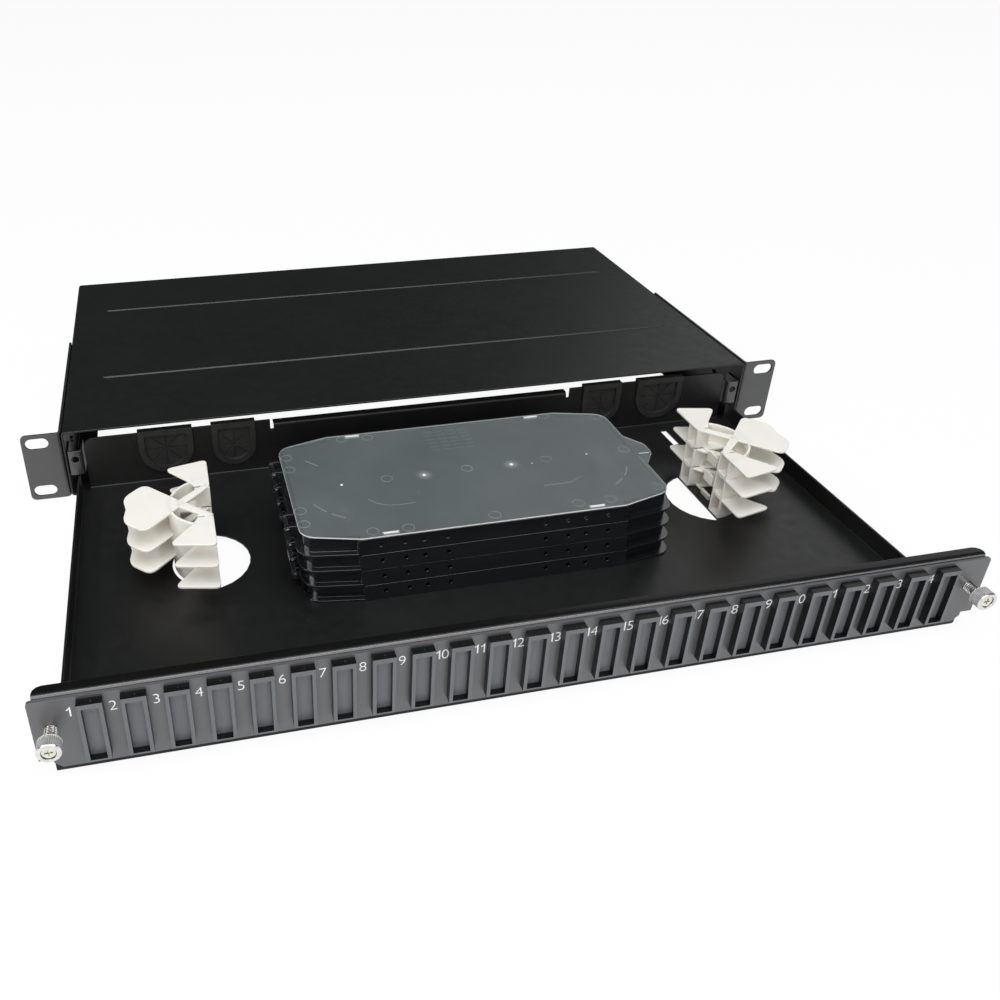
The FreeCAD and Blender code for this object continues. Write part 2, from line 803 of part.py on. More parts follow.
def spool_walls():
    """Curved fibre guides at the outer side of the two storage loops."""
    top = tray_floor + spool_height
    parts = []
    for side in (-1, 1):
        centre = vec(side * spool_x, 0, 0)
        core = rod(spool_radius - spool_wall, plan, 0, top, centre)
        ring = rod(spool_radius, plan, 0, top, centre).cut(core)
        x0, x1 = sorted((side * (spool_x + spool_radius / 2), side * (spool_x + spool_radius)))
        parts.append(ring.common(box(x0, x1, -spool_radius, spool_radius, 0, top)))
    return parts


def splice_tray(level):
    """Cassette tray number level, counted from the floor of the drawer."""
    half_middle = tray_middle_length / 2
    half_width = tray_middle_width / 2
    tray = prism(tray_outline(0), 0, tray_floor, Z_AXIS)
    tray = tray.fuse(pull_tab(tray_length / 2, tab_reach, tray_floor))
    wall = prism(tray_outline(tray_inset), 0, tray_height, Z_AXIS)
    wall = wall.fuse(box(-half_middle, half_middle, -half_width, half_width, 0, tray_height))
    hollow = prism(tray_outline(tray_inset + tray_wall), tray_floor, tray_height, Z_AXIS)
    inner_x = half_middle - tray_wall
    inner_y = half_width - tray_wall
    hollow = hollow.fuse(box(-inner_x, inner_x, -inner_y, inner_y, tray_floor, tray_height))
    tray = tray.fuse(wall).cut(hollow)
    pieces = hinge_lugs() + spool_walls()
    if level > 1:
        pieces += hinge_knuckles()
    for i in range(ridge_count):
        y = -ridge_start - i * ridge_pitch
        pieces.append(box(-ridge_length / 2, ridge_length / 2, y - ridge_width, y,
                          0, tray_floor + ridge_height))
    for side in (-1, 1):
        pieces.append(rod(boss_radius, plan, 0, boss_height, vec(side * boss_x, 0, 0)))
    tray = tray.fuse(pieces)
    for side in (-1, 1):
        if level == 1:
            tray = tray.cut(bore(boss_hole_radius, plan, 0, boss_height, vec(side * boss_x, 0, 0)))
        for x in fibre_hole_x:
            centre = vec(side * x, 0, fibre_hole_rise)
            tray = tray.cut(bore(fibre_hole_radius, across, -half_width, -inner_y, centre))
    tray.translate(tray_place(level))
    return tray.removeSplitter()


def cassette_lid():
    """Clear lid that snaps on the top cassette."""
    lid = prism(cassette_outline(lid_length, lid_end_width, lid_middle_length, 0), 0, lid_thickness, Z_AXIS)
    lid = lid.fuse(pull_tab(lid_length / 2, lid_tab_reach, lid_thickness))
    y = tray_middle_width / 2 - lid_slot_edge - lid_slot_width / 2
    for sx in (-1, 1):
        for sy in (-1, 1):
            slot = box(-lid_slot_length / 2, lid_slot_length / 2, -lid_slot_width / 2, lid_slot_width / 2,
                       0, lid_thickness)
            slot.translate(vec(sx * lid_slot_x, sy * y, 0))
            lid = lid.cut(slot)
    lid.translate(tray_place(tray_count) + vec(0, 0, tray_height))
    return lid.removeSplitter()


def tray_screws():
    """Countersunk screws from under the drawer floor into the lowest cassette's bosses."""
    screws = []
    for place in tray_screw_places():
        shank = rod(tray_screw_radius, plan, sheet, tray_screw_length, place)
        screws.append(countersink(0, place).fuse(shank))
    return Part.makeCompound(screws)


def guide_petals():
    """Rear, side and front petals of a bend guide, drawn on the left of its flat side."""
    r = guide_petal_fillet
    round_r = guide_side_fillet
    tip = guide_petal_radius - guide_petal_fillet * 2
    root = guide_strut_end
    rear = [(0, root), (-guide_cell_depth, root), (-guide_petal_width / 2, guide_drum_radius - guide_wall),
            (-guide_petal_width, tip, r), (0, guide_petal_radius, r)]
    front = [(u, -v, *rest) for u, v, *rest in reversed(rear)]
    half = guide_side_width / 2
    corner_x = guide_side_radius - half / 2
    half_end = half / 2
    side = [(-guide_apex, -guide_side_root), (-guide_apex, guide_side_root), (-corner_x, half, round_r),
            (-guide_side_radius, half_end, round_r), (guide_side_notch - guide_side_radius, 0),
            (-guide_side_radius, -half_end, round_r), (-corner_x, -half, round_r)]
    return [outline(points, plan) for points in (rear, front, side)]


def guide_struts():
    """Two struts from the side petal's inner end to the ends of the flat side."""
    half = guide_strut_width / 2
    bars = []
    for sign in (-1, 1):
        bars.append(outline([(-guide_apex - half, sign * half), (-half, sign * (guide_strut_end + half)),
                             (0, sign * (guide_strut_end - half)), (half - guide_apex, -sign * half)], plan))
    return bars


def guide_half_disc(radius):
    """Half disc on the left of the flat side."""
    return outline([(0, -radius), (0, radius), (-radius, radius, radius), (-radius, -radius, radius)], plan)


def bend_guide(tier):
    """One tier of the left bend guide, with its flat side towards the cassettes."""
    height = guide_tier_height
    ceiling = height - guide_wall
    inside = guide_drum_radius - guide_wall
    shell = guide_half_disc(guide_drum_radius)
    drum = prism(shell, 0, height, Z_AXIS).cut(prism(guide_half_disc(inside), guide_floor, height, Z_AXIS))
    window_x = guide_wall - guide_cell_depth - guide_window_depth
    drum = drum.cut(box(window_x, window_x + guide_window_depth,
                        -guide_window_width / 2, guide_window_width / 2, 0, guide_floor))
    parts = [box(-guide_wall, 0, -guide_strut_end, guide_strut_end, ceiling, height)]
    for sign in (-1, 1):
        edge = inside - guide_post_width
        y0, y1 = sorted((sign * edge, sign * inside))
        parts.append(box(-guide_wall, 0, y0, y1, 0, height))
        c0, c1 = sorted((sign * edge, sign * (edge + guide_wall)))
        parts.append(box(-guide_cell_depth, 0, c0, c1, 0, height))
    parts += [prism(face, ceiling, height, Z_AXIS) for face in guide_petals() + guide_struts()]
    parts.append(box(0, guide_wall, -guide_tongue_width / 2, guide_tongue_width / 2,
                     -guide_tongue_drop, guide_tongue_rise))
    guide = drum.fuse(parts)
    guide.translate(vec(-guide_flat_x, work_y, floor_top + (tier - 1) * height))
    return guide.removeSplitter()


def save(name, shape):
    shape.exportStep("parts/%s.step" % name)


def main():
    os.makedirs("parts", exist_ok=True)
    save("housing_cover", housing_cover())
    save("ear_screws", ear_screws())
    for name, make in (("rack_ear", rack_ear), ("latch_bracket", latch_bracket),
                       ("thumbscrew", thumbscrew), ("screw_washer", screw_washer)):
        shape = make()
        save(name + "_right", shape)
        save(name + "_left", mirrored(shape))
    save("drawer_tray", drawer_tray())
    save("front_frame", front_frame())
    save("front_plate", front_plate())
    for number, x in enumerate(port_places(), 1):
        save("blank_plug_%02d" % number, blank_plug(x))
    for number, (x, width) in enumerate(grommet_places(), 1):
        save("cable_grommet_%d" % number, grommet(x, width))
    for level in range(1, tray_count + 1):
        save("splice_tray_%d" % level, splice_tray(level))
    save("cassette_lid", cassette_lid())
    save("tray_screws", tray_screws())
    for tier in range(1, guide_tiers + 1):
        guide = bend_guide(tier)
        right = mirrored(guide)
        for side, shape in (("left", guide), ("right", right)):
            shape.translate(vec(work_x, 0, 0))
            save("bend_guide_%s_%d" % (side, tier), shape)


main()
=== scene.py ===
import math

import bmesh
import bpy
from mathutils import Matrix, Vector


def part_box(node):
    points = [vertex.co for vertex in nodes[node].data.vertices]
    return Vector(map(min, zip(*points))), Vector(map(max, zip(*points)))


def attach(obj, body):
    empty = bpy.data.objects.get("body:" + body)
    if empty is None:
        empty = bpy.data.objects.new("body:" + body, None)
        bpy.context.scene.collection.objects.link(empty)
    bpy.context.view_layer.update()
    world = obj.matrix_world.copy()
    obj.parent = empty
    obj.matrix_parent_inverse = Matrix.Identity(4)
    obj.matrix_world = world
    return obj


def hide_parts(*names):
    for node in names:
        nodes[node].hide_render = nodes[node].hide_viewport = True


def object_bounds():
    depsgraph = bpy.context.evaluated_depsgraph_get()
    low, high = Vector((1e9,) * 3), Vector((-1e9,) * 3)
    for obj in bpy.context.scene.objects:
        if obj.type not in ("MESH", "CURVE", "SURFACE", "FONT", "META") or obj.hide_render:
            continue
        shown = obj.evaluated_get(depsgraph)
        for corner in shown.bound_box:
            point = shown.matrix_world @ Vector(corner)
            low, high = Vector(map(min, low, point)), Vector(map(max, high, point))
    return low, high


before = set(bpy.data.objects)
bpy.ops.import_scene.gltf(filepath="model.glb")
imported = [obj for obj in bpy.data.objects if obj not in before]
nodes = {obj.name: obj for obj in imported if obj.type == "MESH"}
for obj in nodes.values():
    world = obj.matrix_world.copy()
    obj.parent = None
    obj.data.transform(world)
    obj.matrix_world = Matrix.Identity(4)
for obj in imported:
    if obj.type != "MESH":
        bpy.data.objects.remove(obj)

# Looks of a one-unit fibre patch panel with its drawer pulled out.
# Lengths are in metres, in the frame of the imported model, unless a comment says millimetres.

MM = 0.001
cad_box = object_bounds()
scene = bpy.context.scene

# Camera solved on the rack slots and the front plate
CAMERA_PLACE = (-146.3 * MM, -506.07 * MM, 294.3 * MM)
CAMERA_TURN = (59.7505, 0.022, -12.2967)
CAMERA_LENS = 34.33
CAMERA_SENSOR = 36.0
CAMERA_SHIFT = (0.13136, -0.05808)
CAMERA_NEAR = 10 * MM

# Lamps: name, place, target, size in metres, power in watts, tint
LAMPS = (("overhead", (-0.1, -0.75, 1.85), (0, -0.1, 0), (2.2, 1.5), 35.5, (0.98, 1.0, 1.03)),
         ("front", (-0.2, -1.6, 0.45), (0, -0.2, 0), (2.4, 0.6), 12, (1.0, 0.97, 0.93)),
         ("left", (-1.5, -0.2, 1.1), (0, -0.1, 0), (1.4, 0.2), 11, (1.0, 1.0, 1.0)),
         ("right", (1.67, 0.96, 1.25), (0, 0, 0), (2.2, 1.1), 6, (1.0, 1.0, 1.0)))
ROOM_TINT = (0.9, 0.95, 1.0, 1.0)
ROOM_STRENGTH = 0.055
FLOOR_HALF = 9.0
FLOOR_GLOW_SEEN = 0.95
FLOOR_GLOW_MIRRORED = 0.35

# Edge softness of the carried-over solids
SHARP_ANGLE = math.radians(40)
FLAT_ANGLE = math.radians(1)
WELD_DISTANCE = 0.001 * MM
NORMAL_WEIGHT = 100
COVER_EDGE = 0.4 * MM
SHEET_EDGE = 0.22 * MM
PLATE_EDGE = 0.25 * MM
LID_EDGE = 0.35 * MM
TRAY_EDGE = 0.25 * MM
RUBBER_EDGE = 0.3 * MM
EAR_SCREW_EDGE = 0.3 * MM
TRAY_SCREW_EDGE = 0.15 * MM
WASHER_EDGE = 0.1 * MM

# Grain of the finishes: noise scales for a metre, and the depth of the fine grain
COAT_CLOUD, COAT_GLOSS, COAT_PEEL = 22, 160, 1500
COAT_PEEL_DEPTH = 0.05 * MM
MOULD_GLOSS, MOULD_GRAIN = 240, 2600
MOULD_GRAIN_DEPTH = 0.04 * MM

# Turns of a face, as its normal along an axis, between which a finish changes to another; on the
# frame's folds, the plugs' fronts and the lid's edges this change is painted light and shade
FOLD_START = (0.06, 0.22)
FOLD_END = (0.70, 0.90)
FRONT_LIGHT_TURN = (-0.95, -0.6)
LID_EDGE_LIGHT_TURN = (0.35, 0.97)
LID_HAZE_SPREAD = 0.03

# Colour sockets of Blender's Mix node
MIX_FIRST, MIX_SECOND, MIX_RESULT = 6, 7, 2

# Port numbers printed on the adapter plate
PORT_COUNT = 24
NUMBER_HEIGHT = 5.0 * MM
NUMBER_ADVANCE = 3.0 * MM
NUMBER_LAST_SHIFT = 1.9 * MM
NUMBER_STROKE = -0.07 * MM
NUMBER_SHIFT = -8.55 * MM
NUMBER_Z = 11.1 * MM
NUMBER_THICKNESS = 0.04 * MM
# Outline of the figure 1, as shares of its height from its foot's middle
FIGURE_ONE = ((0.15, 0.0), (0.15, 1.0), (0.07, 1.0), (0.03, 0.92), (-0.08, 0.82), (-0.21, 0.75),
              (-0.21, 0.63), (-0.09, 0.69), (0.02, 0.78), (0.02, 0.0))

# Port blanks, in millimetres, with the pip on top of each
PLUG_PROUD = 4.1
PLUG_LOW, PLUG_HIGH = -14.3, 17.3
PLUG_RIM = 1.7
PLUG_RECESS = 3.2
PLUG_RECESS_DROP = 0.8
PLUG_LAP = 0.3
PLUG_BODY_MIDDLE = 2.3
PLUG_BODY_HALF = (3.8, 13.0)
PLUG_BODY_DEPTH = 9.0
PLUG_WALL = 1.1
PLUG_BARB = 0.7
PLUG_BARB_START = 1.65
PLUG_BARB_LENGTH = 2.6
PLUG_EDGE = 0.2 * MM
PIP_RADIUS = 0.42
PIP_SHIFT_X = 0.6
PIP_SHIFT_Y = 0.2
PIP_RISE = 0.5
PIP_STEPS = (14, 8)

# Bend guides, in millimetres from the middle of a tier's flat side, with the petals towards low x
GUIDE_TIERS = 3
GUIDE_HEIGHT = 13.0
GUIDE_WALL = 1.3
GUIDE_FLOOR = 1.2
GUIDE_LAP = 0.6
GUIDE_SEAM = 0.15
GUIDE_DRUM = 22.5
GUIDE_CELL_WIDTH = 9.0
GUIDE_CELL_DEPTH = 8.0
GUIDE_RECESS = 5.5
GUIDE_TONGUE_HALF = 4.5
GUIDE_TONGUE_DROP = 3.0
GUIDE_TONGUE_RISE = 3.5
GUIDE_WINDOW = (-16.7, -9.0, -6.7, 9.0)
GUIDE_REAR_PETAL = ((0, 15.0), (-8.0, 15.0), (-11.5, 21.2), (-23.0, 35.3, 4.5), (0, 40.5, 3.5))
GUIDE_SIDE_PETAL = ((-16.5, -3.0), (-16.5, 3.0), (-34.0, 22.0, 5.0), (-45.0, 11.0, 5.0), (-43.4, 0),
                    (-45.0, -11.0, 5.0), (-34.0, -22.0, 5.0))
GUIDE_STRUT = ((-18.2, 1.7), (-1.7, 16.7), (0, 13.3), (-14.8, -1.7))
GUIDE_EDGE = 0.3 * MM
DRUM_STEPS = 32
CORNER_STEPS = 6

# Drawer floor where the solid's holes reach further than the photograph's, in millimetres
FLOOR_SHEET = 1.2
FLOOR_SINK = 0.05
FLOOR_LAP = 0.4
FLOOR_HOLE = 25.0
FLOOR_HOLE_SHIFT = 7.5
FLOOR_HOLE_ROOM = 1.3
FLOOR_BRIDGE = 15.0
FLOOR_SLOT_HALF = (2.25, 9.5)
FLOOR_SLOT_SHIFT = 3.0
FLOOR_SLOT_INSET = 20.0

# Closed webs behind the grommets' slits
GROMMET_COUNT = 4
GROMMET_FRAME = 3.6 * MM
WEB_DEPTH = 0.4 * MM
WEB_STEPS = 40

# Thumbscrews: turned sizes, with the knurl, the rings, the thread and the cross recess
HEAD_LENGTH = 6.0 * MM
DISC_RADIUS = 3.1 * MM
DISC_SINK = 0.5 * MM
SHANK_RADIUS = 2.6 * MM
NECK_RADIUS = 1.5 * MM
THREAD_RADIUS = 2.0 * MM
NECK_CLEARANCE = 0.08 * MM
KNURL_TEETH = 36
STEPS_PER_TOOTH = 4
KNURL_DEPTH = 0.45 * MM
INSERT_GAP = 0.3 * MM
INSERT_GAP_DEPTH = 1.5 * MM
HEAD_CHAMFER = 0.45 * MM
EDGE_ROUND = 0.1 * MM
SHANK_RING_PITCH = 0.9 * MM
SHANK_RING_DEPTH = 0.25 * MM
# Places in a pitch where a ring's crest starts and ends, and where the groove does
SHANK_CREST = (0.13, 0.55)
SHANK_GROOVE = (0.68, 0.9)
THREAD_PITCH = 0.7 * MM
THREAD_DEPTH = 0.28 * MM
TIP_CHAMFER = 0.5 * MM
CROSS_LONG = 1.7 * MM
CROSS_SHORT = 0.42 * MM
CROSS_DEPTH = 1.3 * MM
CROSS_TAPER = 0.75
INSERT_STEPS = 48

# Places of the marks moulded in the lid, in millimetres
LID_RINGS = ((-94.7, -54.4), (-94.7, -66.8), (-95.0, -107.3), (-95.0, -119.0), (-45.0, -86.6),
             (0.0, -85.7), (45.8, -85.8), (-62.7, -132.3), (-44.8, -132.9), (0.5, -131.5),
             (46.0, -130.5), (63.7, -130.5), (92.3, -85.2), (92.7, -124.7), (92.5, -46.3),
             (62.4, -39.0), (-60.8, -40.4), (-45.8, -41.3))
LID_PIPS = ((-24.5, -87.4, 1.0), (25.0, -87.1, 1.0), (-69.8, -87.6, 0.8), (69.9, -85.5, 0.5),
            (36.5, -88.4, 0.35))
LID_GATES = ((-24.5, -87.4), (25.0, -87.1))
LID_ARC_CENTRES = ((-56.0, -87.0), (56.0, -87.0))
LID_ARC_RADIUS = 34.0
LID_ARC_TURNS = ((-60, -46), (-41, -24))
LID_RIBS = (((-58.6, -102.6), (-55.3, -106.8), (-49.5, -110.0), (-42.8, -110.6), (-35.4, -110.4)),
            ((58.6, -104.6), (51.6, -109.2), (43.6, -109.6), (35.6, -109.5)),
            ((-84.8, -57.2), (-81.5, -61.3), (-78.5, -64.5)))
LID_CATCHES = ((-54.2, -134.75), (54.6, -134.75), (-54.2, -37.85), (54.6, -37.85))
LID_TAB_BAR = ((98.8, -91.2), (104.6, -91.6))
DASH_COLUMNS = (-10.5, -3.5, 3.5, 10.5)
DASH_ROWS = (-41.5, -45.5, -49.5, -53.5, -57.5, -61.5)
DASH_LENGTH = 5.2

# Sizes of the lid's marks
RING_RADIUS = 3.0 * MM
RING_WIRE = 0.18 * MM
RING_RISE = 0.08 * MM
RING_STEPS = 40
RING_WIRE_STEPS = 8
RIB_WIDTH = 0.5 * MM
RIB_DEPTH = 0.25 * MM
DASH_WIDTH = 0.8 * MM
CATCH_SIZE = (7.4 * MM, 1.2 * MM, 1.1 * MM)
CATCH_ROUND = 0.25 * MM
CATCH_ROUND_STEPS = 2
GATE_RADIUS = 6.0 * MM
GATE_RISE = 0.03 * MM
GATE_STEPS = (48, 12)
ARC_STEPS = 8

# Pin heads on the cassettes' hinge lugs
PIN_BODIES = ("drawer", "cassette_2", "cassette_3", "cassette_4")
PIN_INSET = 2.2 * MM
PIN_SHIFTS_Y = (-32.2 * MM, -19.8 * MM, 19.8 * MM, 32.2 * MM)
PIN_HEAD_RADIUS = 1.5 * MM
PIN_HEAD_RISE = 0.45
PIN_HEAD_STEPS = (20, 12)


class Shader:
    """A material whose nodes are added one after another to its Principled shader."""

    def __init__(self, name, **values):
        self.material = bpy.data.materials.new(name)
        self.material.use_nodes = True
        self.tree = self.material.node_tree
        self.bsdf = self.tree.nodes["Principled BSDF"]
        self.coordinates = self.tree.nodes.new("ShaderNodeTexCoord")
        for key, value in values.items():
            self.bsdf.inputs[key.replace("_", " ")].default_value = value

    def link(self, output, key):
        self.tree.links.new(output, self.bsdf.inputs[key])

    def fill(self, target, value):
        """Gives an input either a link or a plain value."""
        if isinstance(value, bpy.types.NodeSocket):
            self.tree.links.new(value, target)
        else:
            target.default_value = value

    def node(self, kind, inputs, **settings):
        made = self.tree.nodes.new(kind)
        for key, value in settings.items():
            setattr(made, key, value)
        for key, value in inputs.items():
            self.fill(made.inputs[key], value)
        return made

    def noise(self, scale, detail=2.0, stretch=(1, 1, 1)):
        """Noise in the piece's own metres, drawn out along an axis by stretch."""
        mapping = self.node("ShaderNodeMapping", {"Vector": self.coordinates.outputs["Object"],
                                                  "Scale": stretch})
        made = self.node("ShaderNodeTexNoise", {"Vector": mapping.outputs["Vector"],
                                                "Scale": scale, "Detail": detail})
        return made.outputs["Fac"]

    def span(self, fac, low, high, start=0.3, end=0.7):
        """A number that goes from low to high as fac goes from start to end."""
        made = self.node("ShaderNodeMapRange", {"Value": fac, "From Min": start, "From Max": end,
                                                "To Min": low, "To Max": high})
        return made.outputs["Result"]

    def combine(self, first, second, operation):
        """One number worked out from two."""
        made = self.node("ShaderNodeMath", {0: first, 1: second}, operation=operation)
        return made.outputs["Value"]

    def mix(self, fac, first, second):
        """A colour between two, by fac."""
        made = self.node("ShaderNodeMix", {"Factor": fac}, data_type="RGBA")
        for slot, value in ((MIX_FIRST, first), (MIX_SECOND, second)):
            linked = isinstance(value, bpy.types.NodeSocket)
            self.fill(made.inputs[slot], value if linked else (*value, 1.0))
        return made.outputs[MIX_RESULT]

    def bump(self, height, strength, distance):
        made = self.node("ShaderNodeBump", {"Height": height, "Strength": strength,
                                            "Distance": distance})
        self.link(made.outputs["Normal"], "Normal")


def powder_coat(name, dark, light, low_gloss, high_gloss, ior):
    """Satin powder coat: fine orange peel, and a slow change of colour and gloss."""
    paint = Shader(name, IOR=ior)
    paint.link(paint.mix(paint.span(paint.noise(COAT_CLOUD), 0, 1), dark, light), "Base Color")
    paint.link(paint.span(paint.noise(COAT_GLOSS, 3), low_gloss, high_gloss), "Roughness")
    paint.bump(paint.noise(COAT_PEEL, 3), 0.08, COAT_PEEL_DEPTH)
    return paint.material


def folded_coat():
    """Black coat of the front frame whose reflections are painted by the way a face turns: kept
    full on its upper folds as a painted highlight, and damped on its flat faces as painted shade on
    the lower lip and the top.
    """
    paint = Shader("frame_powder_coat", IOR=2.9)
    normal = paint.node("ShaderNodeSeparateXYZ", {"Vector": paint.coordinates.outputs["Normal"]})
    above_front = paint.span(normal.outputs["Z"], 0, 1, *FOLD_START)
    below_top = paint.span(normal.outputs["Z"], 1, 0, *FOLD_END)
    fold_sheen_mask = paint.combine(above_front, below_top, "MULTIPLY")
    tone = paint.span(paint.noise(COAT_CLOUD), 0, 1)
    paint.link(paint.mix(tone, (0.005, 0.005, 0.005), (0.0065, 0.0065, 0.0063)), "Base Color")
    # Painted shade and painted highlight: reflections damped on flat faces, kept full on the folds
    paint.link(paint.mix(fold_sheen_mask, (0.12, 0.116, 0.112), (1.0, 1.0, 1.0)), "Specular Tint")
    paint.link(paint.span(paint.noise(COAT_GLOSS, 3), 0.19, 0.26), "Roughness")
    paint.bump(paint.noise(COAT_PEEL, 3), 0.015, COAT_PEEL_DEPTH)
    return paint.material


def moulded(name, dark, light, low_gloss, high_gloss, ior, grain):
    """Moulded plastic with a fine grain and faint flow marks."""
    plastic = Shader(name, IOR=ior)
    flow = plastic.span(plastic.noise(45, 3, (1, 1, 3)), 0, 1)
    plastic.link(plastic.mix(flow, dark, light), "Base Color")
    plastic.link(plastic.span(plastic.noise(MOULD_GLOSS, 2), low_gloss, high_gloss), "Roughness")
    plastic.bump(plastic.noise(MOULD_GRAIN, 2), grain, MOULD_GRAIN_DEPTH)
    return plastic.material


def fronted(name, side, front, low_gloss, high_gloss, ior):
    """Moulded plastic whose front faces are painted much paler than its sides, a painted light for
    the light that falls on them from the front, with fine streaks in the front colour.
    """
    plastic = Shader(name, IOR=ior)
    normal = plastic.node("ShaderNodeSeparateXYZ",
                          {"Vector": plastic.coordinates.outputs["Normal"]})
    front_light_mask = plastic.span(normal.outputs["Y"], 1, 0, *FRONT_LIGHT_TURN)
    streaks = plastic.span(plastic.noise(260, 3, (6, 1, 0.4)), 0, 1)
    # Painted light: the paler colour goes on faces that face the front
    plastic.link(plastic.mix(front_light_mask, side, plastic.mix(streaks, *front)), "Base Color")
    plastic.link(plastic.span(plastic.noise(MOULD_GLOSS, 2), low_gloss, high_gloss), "Roughness")
    plastic.bump(plastic.noise(MOULD_GRAIN, 2), 0.02, MOULD_GRAIN_DEPTH)
    return plastic.material


def white_plastic():
    """Warm white moulding that lets a little light in."""
    plastic = Shader("white_moulding", Specular_IOR_Level=0.45, Subsurface_Weight=0.2,
                     Subsurface_Scale=2.0 * MM, Subsurface_Radius=(1.0, 0.7, 0.4))
    flow = plastic.span(plastic.noise(60, 3), 0, 1)
    plastic.link(plastic.mix(flow, (0.875, 0.84, 0.77), (0.90, 0.87, 0.805)), "Base Color")
    plastic.link(plastic.span(plastic.noise(300, 2), 0.38, 0.50), "Roughness")
    plastic.bump(plastic.noise(1800, 2), 0.05, MOULD_GRAIN_DEPTH)
    return plastic.material


def frosted_lid(name, clear, edge, body_alpha, edge_alpha):
    """Frosted clear plastic, denser where its edges face sideways, and painted whiter there as a
    painted highlight for the light that its edges catch.
    """
    lid = Shader(name)
    normal = lid.node("ShaderNodeSeparateXYZ", {"Vector": lid.coordinates.outputs["Normal"]})
    level = lid.node("ShaderNodeMath", {0: normal.outputs["Z"]}, operation="ABSOLUTE")
    aside = lid.span(level.outputs["Value"], 1, 0, *LID_EDGE_LIGHT_TURN)
    cloud = lid.span(lid.noise(28, 3), 0, 1)
    # Painted highlight: the edge colour on faces that turn sideways
    lid.link(lid.mix(aside, lid.mix(cloud, *clear), edge), "Base Color")
    haze = lid.span(lid.noise(35, 3), body_alpha - LID_HAZE_SPREAD, body_alpha + LID_HAZE_SPREAD)
    dense = lid.node("ShaderNodeMix", {"Factor": aside, "A": haze, "B": edge_alpha},
                     data_type="FLOAT")
    lid.link(dense.outputs["Result"], "Alpha")
    lid.link(lid.span(lid.noise(350, 2), 0.30, 0.42), "Roughness")
    lid.bump(lid.noise(2200, 2), 0.06, MOULD_GRAIN_DEPTH)
    return lid.material


def gate_blush():
    """Pale haze that fades out round a moulding gate."""
    haze = Shader("gate_haze", Roughness=0.4)
    scaled = haze.node("ShaderNodeMapping", {"Vector": haze.coordinates.outputs["Object"],
                                             "Scale": 3 * (1 / GATE_RADIUS,)})
    gradient = haze.node("ShaderNodeTexGradient", {"Vector": scaled.outputs["Vector"]},
                         gradient_type="QUADRATIC_SPHERE")
    spots = haze.span(haze.noise(500, 3), 0, 1)
    haze.link(haze.mix(spots, (0.72, 0.77, 0.76), (0.84, 0.88, 0.87)), "Base Color")
    haze.link(haze.span(gradient.outputs["Fac"], 0, 0.3, 0, 0.9), "Alpha")
    return haze.material


def turned_metal(name, dark, light, low_gloss, high_gloss, metallic=1.0):
    """Turned metal with fine rings of tool marks."""
    metal = Shader(name, Metallic=metallic)
    metal.link(metal.mix(metal.span(metal.noise(500, 3), 0, 1), dark, light), "Base Color")
    metal.link(metal.span(metal.noise(900, 2, (1, 6, 1)), low_gloss, high_gloss), "Roughness")
    metal.bump(metal.noise(2500, 2, (1, 5, 1)), 0.06, 0.03 * MM)
    return metal.material


def rubber():
    """Matt black rubber with a fine dusty bloom."""
    gum = Shader("black_gum", Specular_IOR_Level=0.45)
    bloom = gum.span(gum.noise(120, 4), 0, 1)
    gum.link(gum.mix(bloom, (0.016, 0.016, 0.016), (0.026, 0.026, 0.025)), "Base Color")
    gum.link(gum.span(gum.noise(300, 2), 0.48, 0.62), "Roughness")
    gum.bump(gum.noise(2000, 3), 0.12, COAT_PEEL_DEPTH)
    return gum.material


def print_ink():
    """White screen-printed ink."""
    ink = Shader("white_ink")
    wear = ink.span(ink.noise(900, 2), 0, 1)
    ink.link(ink.mix(wear, (0.90, 0.90, 0.90), (0.96, 0.96, 0.96)), "Base Color")
    ink.link(ink.span(ink.noise(700, 2), 0.45, 0.6), "Roughness")
    return ink.material


# Finishes: their colours, then the range of roughness, the IOR and any strength of the grain
coat = powder_coat("black_powder_coat", (0.0065, 0.0067, 0.0065), (0.0085, 0.0087, 0.0083),
                   0.36, 0.44, 1.55)
ear_coat = powder_coat("ear_powder_coat", (0.008, 0.008, 0.0082), (0.010, 0.010, 0.0102),
                       0.38, 0.46, 2.0)
# Front frame coat with painted shade and a painted highlight in its reflections
frame_coat = folded_coat()
# Adapter plate: a paler copy of the black coat, painted light for the light that its front faces
# catch
plate_coat_painted_light = powder_coat("plate_powder_coat_painted_light", (0.068, 0.069, 0.073), (0.078, 0.079, 0.083),
                         0.34, 0.42, 1.9)
# Port blanks: near-black sides, with paler front colours painted on as painted light
plug_plastic = fronted("plug_moulding", (0.003, 0.003, 0.0032),
                       ((0.112, 0.119, 0.128), (0.130, 0.137, 0.146)), 0.30, 0.38, 1.5)
tray_plastic = moulded("tray_moulding", (0.007, 0.0077, 0.0092), (0.010, 0.0108, 0.0125),
                       0.13, 0.21, 1.9, 0.03)
# Frosted plastics: two body colours, the edge's colour, which is painted light on faces that turn
# sideways, then the density of body and edge
lid_plastic = frosted_lid("frosted_lid", ((0.175, 0.202, 0.202), (0.205, 0.232, 0.230)),
                          (0.84, 0.88, 0.86), 0.45, 0.95)
mark_plastic = frosted_lid("frosted_mark", ((0.50, 0.55, 0.55), (0.58, 0.63, 0.62)),
                           (0.66, 0.70, 0.69), 0.30, 0.40)
clip_plastic = frosted_lid("frosted_clip", ((0.86, 0.89, 0.88), (0.91, 0.93, 0.92)),
                           (0.92, 0.94, 0.93), 0.93, 0.95)
gate_haze = gate_blush()
white = white_plastic()
gum = rubber()
ink = print_ink()
